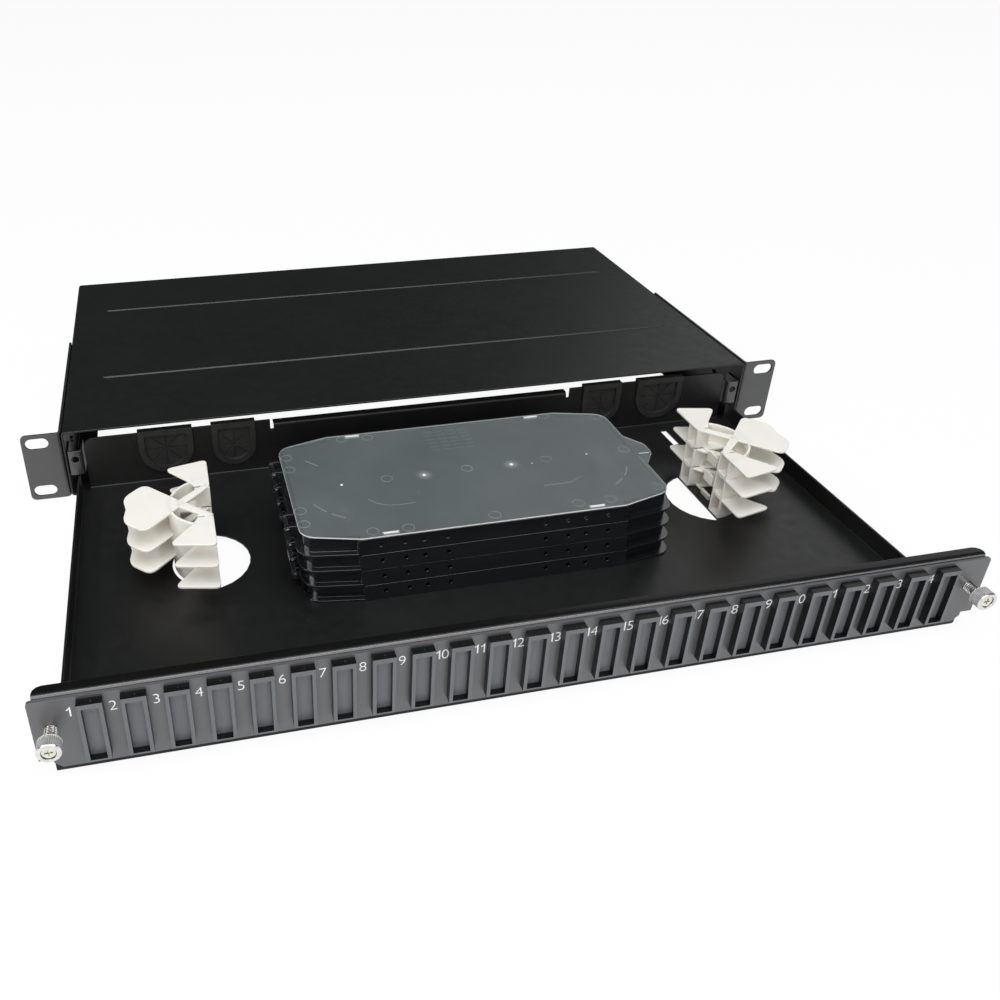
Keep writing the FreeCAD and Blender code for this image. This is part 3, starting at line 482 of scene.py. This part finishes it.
# Metals: two colours, then the range of roughness
nickel = turned_metal("bright_nickel", (0.66, 0.65, 0.62), (0.82, 0.81, 0.78), 0.16, 0.28)
knurl_metal = turned_metal("knurled_nickel", (0.46, 0.46, 0.45), (0.58, 0.58, 0.57), 0.34, 0.46,
                           metallic=0.4)
insert_metal = turned_metal("screw_insert", (0.74, 0.72, 0.62), (0.86, 0.84, 0.75), 0.30, 0.44)
dark_metal = turned_metal("blackened_steel", (0.05, 0.05, 0.05), (0.09, 0.09, 0.088), 0.30, 0.42)


def dress(name, finish, softness, segments=2):
    """Gives a CAD node its finish and a small round on its sharp edges."""
    piece = nodes[name]
    piece.data.materials.clear()
    piece.data.materials.append(finish)
    piece.data.shade_smooth()
    weld = piece.modifiers.new("weld", "WELD")
    weld.merge_threshold = WELD_DISTANCE
    flat = piece.modifiers.new("flat_faces", "DECIMATE")
    flat.decimate_type = "DISSOLVE"
    flat.angle_limit = FLAT_ANGLE
    soften(piece, softness, segments)


def soften(piece, softness, segments=2):
    """A small round on a piece's sharp edges, with even shading beside it."""
    round_edges = piece.modifiers.new("round_edges", "BEVEL")
    round_edges.width = softness
    round_edges.segments = segments
    round_edges.limit_method = "ANGLE"
    round_edges.angle_limit = SHARP_ANGLE
    round_edges.use_clamp_overlap = True
    normals = piece.modifiers.new("even_normals", "WEIGHTED_NORMAL")
    normals.weight = NORMAL_WEIGHT


def dress_all():
    """Gives every carried-over node its finish and edge softness."""
    dress("housing_cover", coat, COVER_EDGE, segments=3)
    dress("drawer_tray", coat, SHEET_EDGE)
    dress("front_frame", frame_coat, SHEET_EDGE)
    dress("front_plate", plate_coat_painted_light, PLATE_EDGE)
    dress("ear_screws", dark_metal, EAR_SCREW_EDGE)
    dress("tray_screws", nickel, TRAY_SCREW_EDGE)
    dress("cassette_lid", lid_plastic, LID_EDGE)
    for side in ("left", "right"):
        dress("rack_ear_" + side, ear_coat, SHEET_EDGE)
        dress("latch_bracket_" + side, ear_coat, SHEET_EDGE)
        dress("screw_washer_" + side, nickel, WASHER_EDGE)
    for number in range(1, len(PIN_BODIES) + 1):
        dress("splice_tray_%d" % number, tray_plastic, TRAY_EDGE)
    for number in range(1, GROMMET_COUNT + 1):
        dress("cable_grommet_%d" % number, gum, RUBBER_EDGE)


def finished(name, mesh, finish, body, place=(0, 0, 0)):
    """A new mesh piece that rides on a body and takes the finish that it is given."""
    mesh.materials.append(finish)
    made = bpy.data.objects.new(name, mesh)
    made.location = place
    scene.collection.objects.link(made)
    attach(made, body)
    return made


def mesh_of(name, shape):
    """The mesh of a finished bmesh, smooth with sharp edges where its faces turn."""
    mesh = bpy.data.meshes.new(name)
    bmesh.ops.recalc_face_normals(shape, faces=shape.faces)
    shape.to_mesh(mesh)
    shape.free()
    mesh.shade_smooth()
    mesh.set_sharp_from_angle(angle=SHARP_ANGLE)
    return mesh


def lying(u, v, w):
    """An outline in x and y, raised along z."""
    return u, v, w


def upright(u, v, w):
    """An outline in x and z, drawn out along y."""
    return u, w, v


def sideways(u, v, w):
    """An outline in y and z, drawn out along x."""
    return w, u, v


def walls(shape, lower, upper):
    """The faces between two loops of points."""
    for i in range(len(lower)):
        shape.faces.new((lower[i - 1], lower[i], upper[i], upper[i - 1]))


def slab(shape, outline, low, high, turned=lying):
    """Flat piece between two heights over an outline."""
    lower, upper = ([shape.verts.new(turned(u, v, w)) for u, v in outline] for w in (low, high))
    shape.faces.new(lower[::-1])
    shape.faces.new(upper)
    walls(shape, lower, upper)


def pierced(shape, outline, hole, low, high, turned=lying):
    """Flat piece with a hole, between two heights."""
    levels = [[[shape.verts.new(turned(u, v, w)) for u, v in line] for line in (outline, hole)]
              for w in (low, high)]
    for level in levels:
        edges = [shape.edges.new((line[i - 1], line[i]))
                 for line in level for i in range(len(line))]
        bmesh.ops.triangle_fill(shape, use_beauty=True, edges=edges)
    for lower, upper in zip(*levels):
        walls(shape, lower, upper)


def oblong(u0, v0, u1, v1):
    """Outline of a rectangle."""
    return [(u0, v0), (u1, v0), (u1, v1), (u0, v1)]


def circle(u, v, radius, steps):
    """Outline of a circle."""
    turns = [2 * math.pi * step / steps for step in range(steps)]
    return [(u + radius * math.cos(turn), v + radius * math.sin(turn)) for turn in turns]


def rounded(points):
    """Outline of corner points, where a third number rounds the corner over that length."""
    outline = []
    for i, (x, y, *reach) in enumerate(points):
        corner = Vector((x, y))
        if not reach:
            outline.append(corner)
            continue
        others = [Vector(points[k % len(points)][:2]) for k in (i - 1, i + 1)]
        before, after = (corner + (other - corner).normalized() * reach[0] for other in others)
        for step in range(CORNER_STEPS + 1):
            share = step / CORNER_STEPS
            outline.append(before.lerp(corner, share).lerp(corner.lerp(after, share), share))
    return outline


def figure(digit):
    """Mesh of one figure that lies flat, with its foot's middle at 0, 0."""
    if digit == "1":
        shape = bmesh.new()
        slab(shape, [(x * NUMBER_HEIGHT, y * NUMBER_HEIGHT) for x, y in FIGURE_ONE],
             -NUMBER_THICKNESS, NUMBER_THICKNESS)
        return mesh_of("figure", shape)
    words = bpy.data.curves.new("figure", "FONT")
    words.body = digit
    words.size = NUMBER_HEIGHT
    words.offset = NUMBER_STROKE
    words.extrude = NUMBER_THICKNESS
    holder = bpy.data.objects.new("figure", words)
    scene.collection.objects.link(holder)
    bpy.context.view_layer.update()
    depsgraph = bpy.context.evaluated_depsgraph_get()
    mesh = bpy.data.meshes.new_from_object(holder.evaluated_get(depsgraph))
    bpy.data.objects.remove(holder)
    xs = [vertex.co.x for vertex in mesh.vertices]
    ys = [vertex.co.y for vertex in mesh.vertices]
    size = NUMBER_HEIGHT / (max(ys) - min(ys))
    mesh.transform(Matrix.Translation((-(min(xs) + max(xs)) / 2, -min(ys), 0)))
    mesh.transform(Matrix.Diagonal((size, size, 1, 1)))
    return mesh


def port_numbers():
    """Plain numbers 1 to 24 printed beside the ports."""
    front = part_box("front_plate")[0].y
    stood_up = Matrix.Rotation(math.pi / 2, 4, "X")
    for number in range(1, PORT_COUNT + 1):
        low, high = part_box("blank_plug_%02d" % number)
        middle = (low.x + high.x) / 2 + NUMBER_SHIFT
        digits = str(number)
        shape = bmesh.new()
        for i, digit in enumerate(digits):
            mesh = figure(digit)
            behind = len(digits) - 1 - i
            x = middle + (len(digits) - 1) * NUMBER_LAST_SHIFT - behind * NUMBER_ADVANCE
            foot = (x, front, NUMBER_Z - NUMBER_HEIGHT / 2)
            mesh.transform(Matrix.Translation(foot) @ stood_up)
            shape.from_mesh(mesh)
            bpy.data.meshes.remove(mesh)
        name = "port_number_%02d" % number
        finished(name, mesh_of(name, shape), ink, "drawer")


def ball(shape, centre, radius, stretch, steps):
    """A ball that is flattened along an axis by stretch."""
    round_steps, tall_steps = steps
    place = Matrix.Translation(centre) @ Matrix.Diagonal((*stretch, 1))
    bmesh.ops.create_uvsphere(shape, u_segments=round_steps, v_segments=tall_steps, radius=radius,
                              matrix=place)


def pip(shape, centre, radius):
    """A small moulded pip, half sunk in the face that it stands on."""
    ball(shape, centre, radius, (1, 1, PIP_RISE), PIP_STEPS)


def plug_shape(shape, half, front):
    """Port blank about x = 0: a frame with a sunk panel, a hollow body and two snap barbs."""
    face = front - PLUG_PROUD
    inner = half - PLUG_RIM
    low = PLUG_LOW + PLUG_RIM - PLUG_RECESS_DROP
    high = PLUG_HIGH - PLUG_RIM - PLUG_RECESS_DROP
    pierced(shape, oblong(-half, PLUG_LOW, half, PLUG_HIGH), oblong(-inner, low, inner, high),
            face, front, upright)
    lap = inner + PLUG_LAP
    slab(shape, oblong(-lap, low - PLUG_LAP, lap, high + PLUG_LAP),
         face + PLUG_RECESS, front - PLUG_LAP, upright)
    width, height = PLUG_BODY_HALF
    bottom, top = PLUG_BODY_MIDDLE - height, PLUG_BODY_MIDDLE + height
    outlines = [oblong(-width + wall, bottom + wall, width - wall, top - wall)
                for wall in (0, PLUG_WALL)]
    pierced(shape, *outlines, front - PLUG_LAP, front + PLUG_BODY_DEPTH, upright)
    start = front + PLUG_BARB_START
    end = start + PLUG_BARB_LENGTH
    for sign in (-1, 1):
        root, tip = (PLUG_BODY_MIDDLE + sign * (height + reach)
                     for reach in (-PLUG_BARB, PLUG_BARB))
        slab(shape, [(start, root), (start, tip), (end, root)], -width, width, sideways)


def blank_plugs():
    """The 24 port blanks and their pips, in place of the solids."""
    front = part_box("front_plate")[0].y / MM
    for number in range(1, PORT_COUNT + 1):
        node = "blank_plug_%02d" % number
        low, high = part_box(node)
        shape = bmesh.new()
        plug_shape(shape, (high.x - low.x) / 2 / MM, front)
        pip(shape, (PIP_SHIFT_X, front - PLUG_PROUD / 2 + PIP_SHIFT_Y, PLUG_HIGH), PIP_RADIUS)
        place = Matrix.Translation(((low.x + high.x) / 2, 0, 0)) @ Matrix.Scale(MM, 4)
        bmesh.ops.transform(shape, matrix=place, verts=shape.verts)
        name = "port_blank_%02d" % number
        plug = finished(name, mesh_of(name, shape), plug_plastic, "drawer")
        soften(plug, PLUG_EDGE)
        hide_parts(node)


def guide_shape(shape, drop):
    """One tier of a bend guide: drum, floor, cells, tongue, petals and struts."""
    ceiling = GUIDE_HEIGHT - GUIDE_WALL
    inside = GUIDE_DRUM - GUIDE_WALL
    turns = [math.pi * (0.5 + step / DRUM_STEPS) for step in range(DRUM_STEPS + 1)]
    outer, inner, lap = ([(radius * math.cos(turn), radius * math.sin(turn)) for turn in turns]
                         for radius in (GUIDE_DRUM, inside, inside + GUIDE_LAP))
    slab(shape, outer + inner[::-1], 0, GUIDE_HEIGHT - GUIDE_SEAM)
    edge = inside - GUIDE_CELL_WIDTH
    notch = [(0, -edge), (-GUIDE_RECESS, -edge), (-GUIDE_RECESS, edge), (0, edge)]
    pierced(shape, lap + notch, oblong(*GUIDE_WINDOW), 0, GUIDE_FLOOR)
    for low in (-edge - GUIDE_WALL, edge):
        slab(shape, oblong(-GUIDE_CELL_DEPTH, low, 0, low + GUIDE_WALL),
             GUIDE_SEAM, GUIDE_HEIGHT - 2 * GUIDE_SEAM)
    tongue = oblong(-GUIDE_RECESS, -GUIDE_TONGUE_HALF, GUIDE_WALL - GUIDE_RECESS, GUIDE_TONGUE_HALF)
    slab(shape, tongue, -drop, GUIDE_TONGUE_RISE)
    slab(shape, rounded(GUIDE_SIDE_PETAL), ceiling, GUIDE_HEIGHT)
    for sign in (-1, 1):
        for outline in (rounded(GUIDE_REAR_PETAL), GUIDE_STRUT):
            slab(shape, [(x, sign * y) for x, y in outline], ceiling, GUIDE_HEIGHT)


def guide_seat(node):
    """Where a guide's flat side has its middle, on the level that the tier stands on."""
    low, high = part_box(node)
    flat = high.x - GUIDE_WALL * MM if "left" in node else low.x + GUIDE_WALL * MM
    return flat, (low.y + high.y) / 2, low.z + GUIDE_TONGUE_DROP * MM


def bend_guides():
    """The white bend guides with open cells, in place of the solids."""
    for side, sign in (("left", 1), ("right", -1)):
        for tier in range(1, GUIDE_TIERS + 1):
            node = "bend_guide_%s_%d" % (side, tier)
            shape = bmesh.new()
            guide_shape(shape, 0 if tier == 1 else GUIDE_TONGUE_DROP)
            size = Matrix.Diagonal((sign * MM, MM, MM, 1))
            place = Matrix.Translation(guide_seat(node)) @ size
            bmesh.ops.transform(shape, matrix=place, verts=shape.verts)
            name = "guide_%s_%d" % (side, tier)
            guide = finished(name, mesh_of(name, shape), white, "drawer")
            soften(guide, GUIDE_EDGE)
            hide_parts(node)


def bulge(centre, radius, edge):
    """The arc of a circle on the x axis that lies beyond an edge, towards low x."""
    first = math.acos((edge - centre) / radius)
    turns = [first + 2 * (math.pi - first) * step / DRUM_STEPS for step in range(DRUM_STEPS + 1)]
    return [(centre + radius * math.cos(turn), radius * math.sin(turn)) for turn in turns]


def floor_sheet():
    """Drawer floor that closes the holes under the petals, and the slot behind the left guide."""
    edge = FLOOR_LAP - FLOOR_BRIDGE
    outer = bulge(-FLOOR_HOLE_SHIFT, FLOOR_HOLE + FLOOR_LAP, edge)
    inner = bulge(0, GUIDE_DRUM + FLOOR_HOLE_ROOM, edge)
    outlines = []
    for side, sign in (("left", 1), ("right", -1)):
        flat, middle, floor = guide_seat("bend_guide_%s_1" % side)
        outlines.append([(flat + sign * x * MM, middle + y * MM) for x, y in outer + inner[::-1]])
    grommets = [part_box("cable_grommet_%d" % number) for number in range(1, GROMMET_COUNT + 1)]
    low, high = min(grommets, key=lambda box: box[0].x)
    x = (low.x + high.x) / 2 - FLOOR_SLOT_SHIFT * MM
    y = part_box("drawer_tray")[1].y - FLOOR_SLOT_INSET * MM
    width, length = ((half + FLOOR_LAP) * MM for half in FLOOR_SLOT_HALF)
    outlines.append(oblong(x - width, y - length, x + width, y + length))
    shape = bmesh.new()
    for outline in outlines:
        slab(shape, outline, floor - FLOOR_SHEET * MM, floor - FLOOR_SINK * MM)
    name = "drawer_floor_sheet"
    finished(name, mesh_of(name, shape), coat, "drawer")


def grommet_webs():
    """Closed rubber webs behind the grommets' slits, which then read as grooves."""
    shape = bmesh.new()
    for number in range(1, GROMMET_COUNT + 1):
        low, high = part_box("cable_grommet_%d" % number)
        half = (high.x - low.x) / 2
        radius = half - GROMMET_FRAME
        outline = circle(low.x + half, low.z + half, radius, WEB_STEPS)
        middle = (low.y + high.y) / 2
        slab(shape, outline, middle, middle + WEB_DEPTH, upright)
    finished("grommet_webs", mesh_of("grommet_webs", shape), gum, "drawer")


def head_profile(front, radius):
    """Profile of the head as (y, radius, knurled), from its sunk disc round to the shank."""
    rear = front + HEAD_LENGTH
    flank = radius - HEAD_CHAMFER
    gap_floor = front + DISC_SINK + INSERT_GAP_DEPTH
    return [(gap_floor, DISC_RADIUS - INSERT_GAP, False), (gap_floor, DISC_RADIUS, False),
            (front + EDGE_ROUND, DISC_RADIUS, False),
            (front, DISC_RADIUS + EDGE_ROUND, False), (front, flank - EDGE_ROUND, False),
            (front + EDGE_ROUND / 2, flank, False), (front + HEAD_CHAMFER, radius, False),
            (front + HEAD_CHAMFER + EDGE_ROUND, radius, True),
            (rear - HEAD_CHAMFER - EDGE_ROUND, radius, True), (rear - HEAD_CHAMFER, radius, False),
            (rear, flank, False), (rear, SHANK_RADIUS + EDGE_ROUND, False)]


def shank_profile(start, end):
    """Profile of the ringed shank behind the head."""
    points = []
    y = start
    while y + SHANK_RING_PITCH < end:
        for shares, radius in ((SHANK_CREST, SHANK_RADIUS),
                               (SHANK_GROOVE, SHANK_RADIUS - SHANK_RING_DEPTH)):
            points += [(y + SHANK_RING_PITCH * share, radius, False) for share in shares]
        y += SHANK_RING_PITCH
    return points


def thread_profile(start, end):
    """Profile of the thread, as rings, down to the chamfered tip."""
    root = THREAD_RADIUS - THREAD_DEPTH
    points = []
    y = start
    while y + THREAD_PITCH < end - TIP_CHAMFER:
        points += [(y, root, False), (y + THREAD_PITCH / 2, THREAD_RADIUS, False)]
        y += THREAD_PITCH
    return points + [(end - TIP_CHAMFER, root, False), (end, root - TIP_CHAMFER, False)]


def revolve(shape, profile, centre):
    """Turns a profile about an axis along Y, with teeth where it is knurled, and closes it."""
    steps = KNURL_TEETH * STEPS_PER_TOOTH
    rings = []
    for y, radius, knurled in profile:
        ring = []
        for step in range(steps):
            turn = 2 * math.pi * step / steps
            tooth = KNURL_DEPTH * (0.5 - 0.5 * math.cos(2 * math.pi * step / STEPS_PER_TOOTH))
            r = radius - tooth if knurled else radius
            place = (centre.x + r * math.cos(turn), y, centre.z + r * math.sin(turn))
            ring.append(shape.verts.new(place))
        rings.append(ring)
    for number in range(1, len(rings)):
        first, second = rings[number - 1], rings[number]
        for i in range(steps):
            face = shape.faces.new((first[i - 1], first[i], second[i], second[i - 1]))
            face.material_index = int(profile[number][2] and profile[number - 1][2])
    shape.faces.new(rings[0])
    shape.faces.new(rings[-1])


def thumbscrews():
    """Knurled captive screws with a cross recess, in place of the plain turned ones."""
    for side in ("left", "right"):
        name = "thumbscrew_" + side
        low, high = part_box(name)
        washer_low, washer_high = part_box("screw_washer_" + side)
        centre = (low + high) / 2
        neck = washer_low.y - NECK_CLEARANCE
        neck_end = washer_high.y + NECK_CLEARANCE
        profile = head_profile(low.y, (high.x - low.x) / 2)
        profile += shank_profile(low.y + HEAD_LENGTH, neck)
        profile += [(neck, SHANK_RADIUS, False), (neck, NECK_RADIUS, False),
                    (neck_end, NECK_RADIUS, False)]
        profile += thread_profile(neck_end, high.y)
        shape = bmesh.new()
        revolve(shape, profile, centre)
        screw = finished(name + "_knurled", mesh_of(name, shape), nickel, "screw_" + side)
        screw.data.materials.append(knurl_metal)
        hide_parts(name)
        screw_insert(side, centre, low.y + DISC_SINK)


def screw_insert(side, centre, y):
    """The pale disc with the cross recess, sunk in the head."""
    shape = bmesh.new()
    outline = circle(centre.x, centre.z, DISC_RADIUS - INSERT_GAP, INSERT_STEPS)
    rim, foot = ([shape.verts.new((u, depth, v)) for u, v in outline]
                 for depth in (y, y + INSERT_GAP_DEPTH))
    walls(shape, rim, foot)
    long, short = CROSS_LONG, CROSS_SHORT
    corners = [(long, -short), (long, short), (short, short), (short, long), (-short, long),
               (-short, short), (-long, short), (-long, -short), (-short, -short), (-short, -long),
               (short, -long), (short, -short)]
    edge, floor = ([shape.verts.new((centre.x + u * taper, depth, centre.z + v * taper))
                    for u, v in corners]
                   for taper, depth in ((1, y), (CROSS_TAPER, y + CROSS_DEPTH)))
    loops = []
    for loop in (rim, edge):
        pairs = zip(loop[-1:] + loop[:-1], loop)
        loops += [shape.edges.get(pair) or shape.edges.new(pair) for pair in pairs]
    bmesh.ops.triangle_fill(shape, use_beauty=True, edges=loops)
    walls(shape, edge, floor)
    shape.faces.new(floor)
    shape.faces.new(foot)
    name = "screw_insert_" + side
    finished(name, mesh_of(name, shape), insert_metal, "screw_" + side)


def pin_heads():
    """Rounded pin ends at the outer sides of the cassettes' hinge lugs."""
    for number, body in enumerate(PIN_BODIES, 1):
        low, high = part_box("splice_tray_%d" % number)
        shape = bmesh.new()
        for shift in PIN_SHIFTS_Y:
            middle = (low.x + PIN_INSET, (low.y + high.y) / 2 + shift, high.z - PIN_INSET)
            ball(shape, middle, PIN_HEAD_RADIUS, (1, PIN_HEAD_RISE, 1), PIN_HEAD_STEPS)
        name = "hinge_pin_heads_%d" % number
        finished(name, mesh_of(name, shape), tray_plastic, body)


def ring(shape, centre):
    """A thin raised ring that lies flat."""
    loops = []
    for step in range(RING_STEPS):
        turn = 2 * math.pi * step / RING_STEPS
        out = Vector((math.cos(turn), math.sin(turn), 0))
        loop = []
        for k in range(RING_WIRE_STEPS):
            a = 2 * math.pi * k / RING_WIRE_STEPS
            reach = RING_RADIUS + RING_WIRE * math.cos(a)
            rise = Vector((0, 0, RING_RISE * math.sin(a)))
            loop.append(shape.verts.new(centre + out * reach + rise))
        loops.append(loop)
    for i in range(RING_STEPS):
        first, second = loops[i - 1], loops[i]
        for k in range(RING_WIRE_STEPS):
            shape.faces.new((first[k - 1], first[k], second[k], second[k - 1]))


def rib(shape, points, width, low, high):
    """A thin flat rib along a line of points in millimetres."""
    path = [Vector((x * MM, y * MM)) for x, y in points]
    left, right = [], []
    for i, point in enumerate(path):
        along = (path[min(i + 1, len(path) - 1)] - path[max(i - 1, 0)]).normalized()
        aside = Vector((-along.y, along.x)) * width / 2
        left.append(point + aside)
        right.append(point - aside)
    slab(shape, right + left[::-1], low, high)


def lid_arcs():
    """Points of the curved ribs round the two ends, each as one line."""
    lines = []
    for x, y in LID_ARC_CENTRES:
        side = math.copysign(1, x)
        for first, last in LID_ARC_TURNS:
            turns = [math.radians(first + (last - first) * step / ARC_STEPS)
                     for step in range(ARC_STEPS + 1)]
            lines.append([(x + side * LID_ARC_RADIUS * math.cos(turn),
                           y + LID_ARC_RADIUS * math.sin(turn)) for turn in turns])
    return lines


def lid_marks():
    """Moulded rings, pips, ribs, catches and gate haze of the lid."""
    low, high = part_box("cassette_lid")
    body, slot = "cassette_4", "lid_plastic"
    top = high.z
    under = low.z

    shape = bmesh.new()
    for x, y in LID_RINGS:
        ring(shape, Vector((x * MM, y * MM, top)))
    finished("lid_rings", mesh_of("lid_rings", shape), mark_plastic, body)

    shape = bmesh.new()
    for x, y, radius in LID_PIPS:
        pip(shape, (x * MM, y * MM, top), radius * MM)
    finished("lid_pips", mesh_of("lid_pips", shape), clip_plastic, body)

    shape = bmesh.new()
    for line in [*LID_RIBS, *lid_arcs()]:
        rib(shape, line, RIB_WIDTH, under - RIB_DEPTH, under)
    finished("lid_ribs", mesh_of("lid_ribs", shape), clip_plastic, body)

    shape = bmesh.new()
    for x in DASH_COLUMNS:
        for y in DASH_ROWS:
            line = ((x - DASH_LENGTH / 2, y), (x + DASH_LENGTH / 2, y))
            rib(shape, line, DASH_WIDTH, under - RIB_DEPTH, under)
    finished("lid_dashes", mesh_of("lid_dashes", shape), mark_plastic, body)

    shape = bmesh.new()
    for x, y in LID_CATCHES:
        place = Matrix.Translation((x * MM, y * MM, (top + under) / 2))
        bmesh.ops.create_cube(shape, size=1, matrix=place @ Matrix.Diagonal((*CATCH_SIZE, 1)))
    rib(shape, LID_TAB_BAR, RIB_WIDTH, top, top + RING_RISE)
    bmesh.ops.bevel(shape, geom=shape.edges[:], offset=CATCH_ROUND, segments=CATCH_ROUND_STEPS,
                    affect="EDGES", clamp_overlap=True)
    finished("lid_catches", mesh_of("lid_catches", shape), clip_plastic, body)

    for number, (x, y) in enumerate(LID_GATES, 1):
        shape = bmesh.new()
        ball(shape, (0, 0, 0), GATE_RADIUS, (1, 1, GATE_RISE / GATE_RADIUS), GATE_STEPS)
        name = "lid_gate_%d" % number
        finished(name, mesh_of(name, shape), gate_haze, body, (x * MM, y * MM, top))


def floor_material():
    """Pale floor that shows white to the camera and in reflections, with the part's soft shadow."""
    shader = Shader("pale_floor", Roughness=0.9, Specular_IOR_Level=0.1)
    tone = shader.mix(shader.span(shader.noise(3, 2), 0, 1), (0.93, 0.93, 0.93), (0.95, 0.95, 0.95))
    shader.link(tone, "Base Color")
    path = shader.node("ShaderNodeLightPath", {})
    seen = shader.combine(path.outputs["Is Camera Ray"], FLOOR_GLOW_SEEN, "MULTIPLY")
    bounced = shader.combine(path.outputs["Is Glossy Ray"], path.outputs["Is Transmission Ray"],
                             "MAXIMUM")
    mirrored = shader.combine(bounced, FLOOR_GLOW_MIRRORED, "MULTIPLY")
    share = shader.combine(seen, mirrored, "MAXIMUM")
    glow = shader.node("ShaderNodeEmission", {"Color": (1, 1, 1, 1), "Strength": 1.0})
    mixed = shader.node("ShaderNodeMixShader", {0: share, 1: shader.bsdf.outputs["BSDF"],
                                                2: glow.outputs["Emission"]})
    shader.fill(shader.tree.nodes["Material Output"].inputs["Surface"], mixed.outputs["Shader"])
    return shader.material


def stage_floor():
    """The plain floor under the part."""
    corners = oblong(-FLOOR_HALF, -FLOOR_HALF, FLOOR_HALF, FLOOR_HALF)
    shape = bmesh.new()
    shape.faces.new([shape.verts.new((x, y, cad_box[0][2])) for x, y in corners])
    mesh = bpy.data.meshes.new("floor")
    shape.to_mesh(mesh)
    shape.free()
    mesh.materials.append(floor_material())
    floor = bpy.data.objects.new("floor", mesh)
    scene.collection.objects.link(floor)


def stage_lights():
    """Soft area lamps and a dim room."""
    for name, place, target, size, power, tint in LAMPS:
        light = bpy.data.lights.new(name, "AREA")
        light.shape = "RECTANGLE"
        light.size, light.size_y = size
        light.energy = power
        light.color = tint
        holder = bpy.data.objects.new(name, light)
        holder.location = place
        holder.rotation_euler = (Vector(target) - Vector(place)).to_track_quat("-Z", "Y").to_euler()
        scene.collection.objects.link(holder)
    world = bpy.data.worlds.new("room")
    world.use_nodes = True
    background = world.node_tree.nodes["Background"]
    background.inputs["Color"].default_value = ROOM_TINT
    background.inputs["Strength"].default_value = ROOM_STRENGTH
    scene.world = world


def stage_camera():
    """The camera at the photograph's place."""
    lens = bpy.data.cameras.new("camera")
    lens.sensor_width = CAMERA_SENSOR
    lens.lens = CAMERA_LENS
    lens.shift_x, lens.shift_y = CAMERA_SHIFT
    lens.clip_start = CAMERA_NEAR
    camera = bpy.data.objects.new("camera", lens)
    camera.location = CAMERA_PLACE
    camera.rotation_euler = [math.radians(angle) for angle in CAMERA_TURN]
    scene.collection.objects.link(camera)
    scene.camera = camera
    scene.view_settings.view_transform = "Standard"


dress_all()
port_numbers()
blank_plugs()
bend_guides()
floor_sheet()
grommet_webs()
thumbscrews()
pin_heads()
lid_marks()
stage_floor()
stage_lights()
stage_camera()
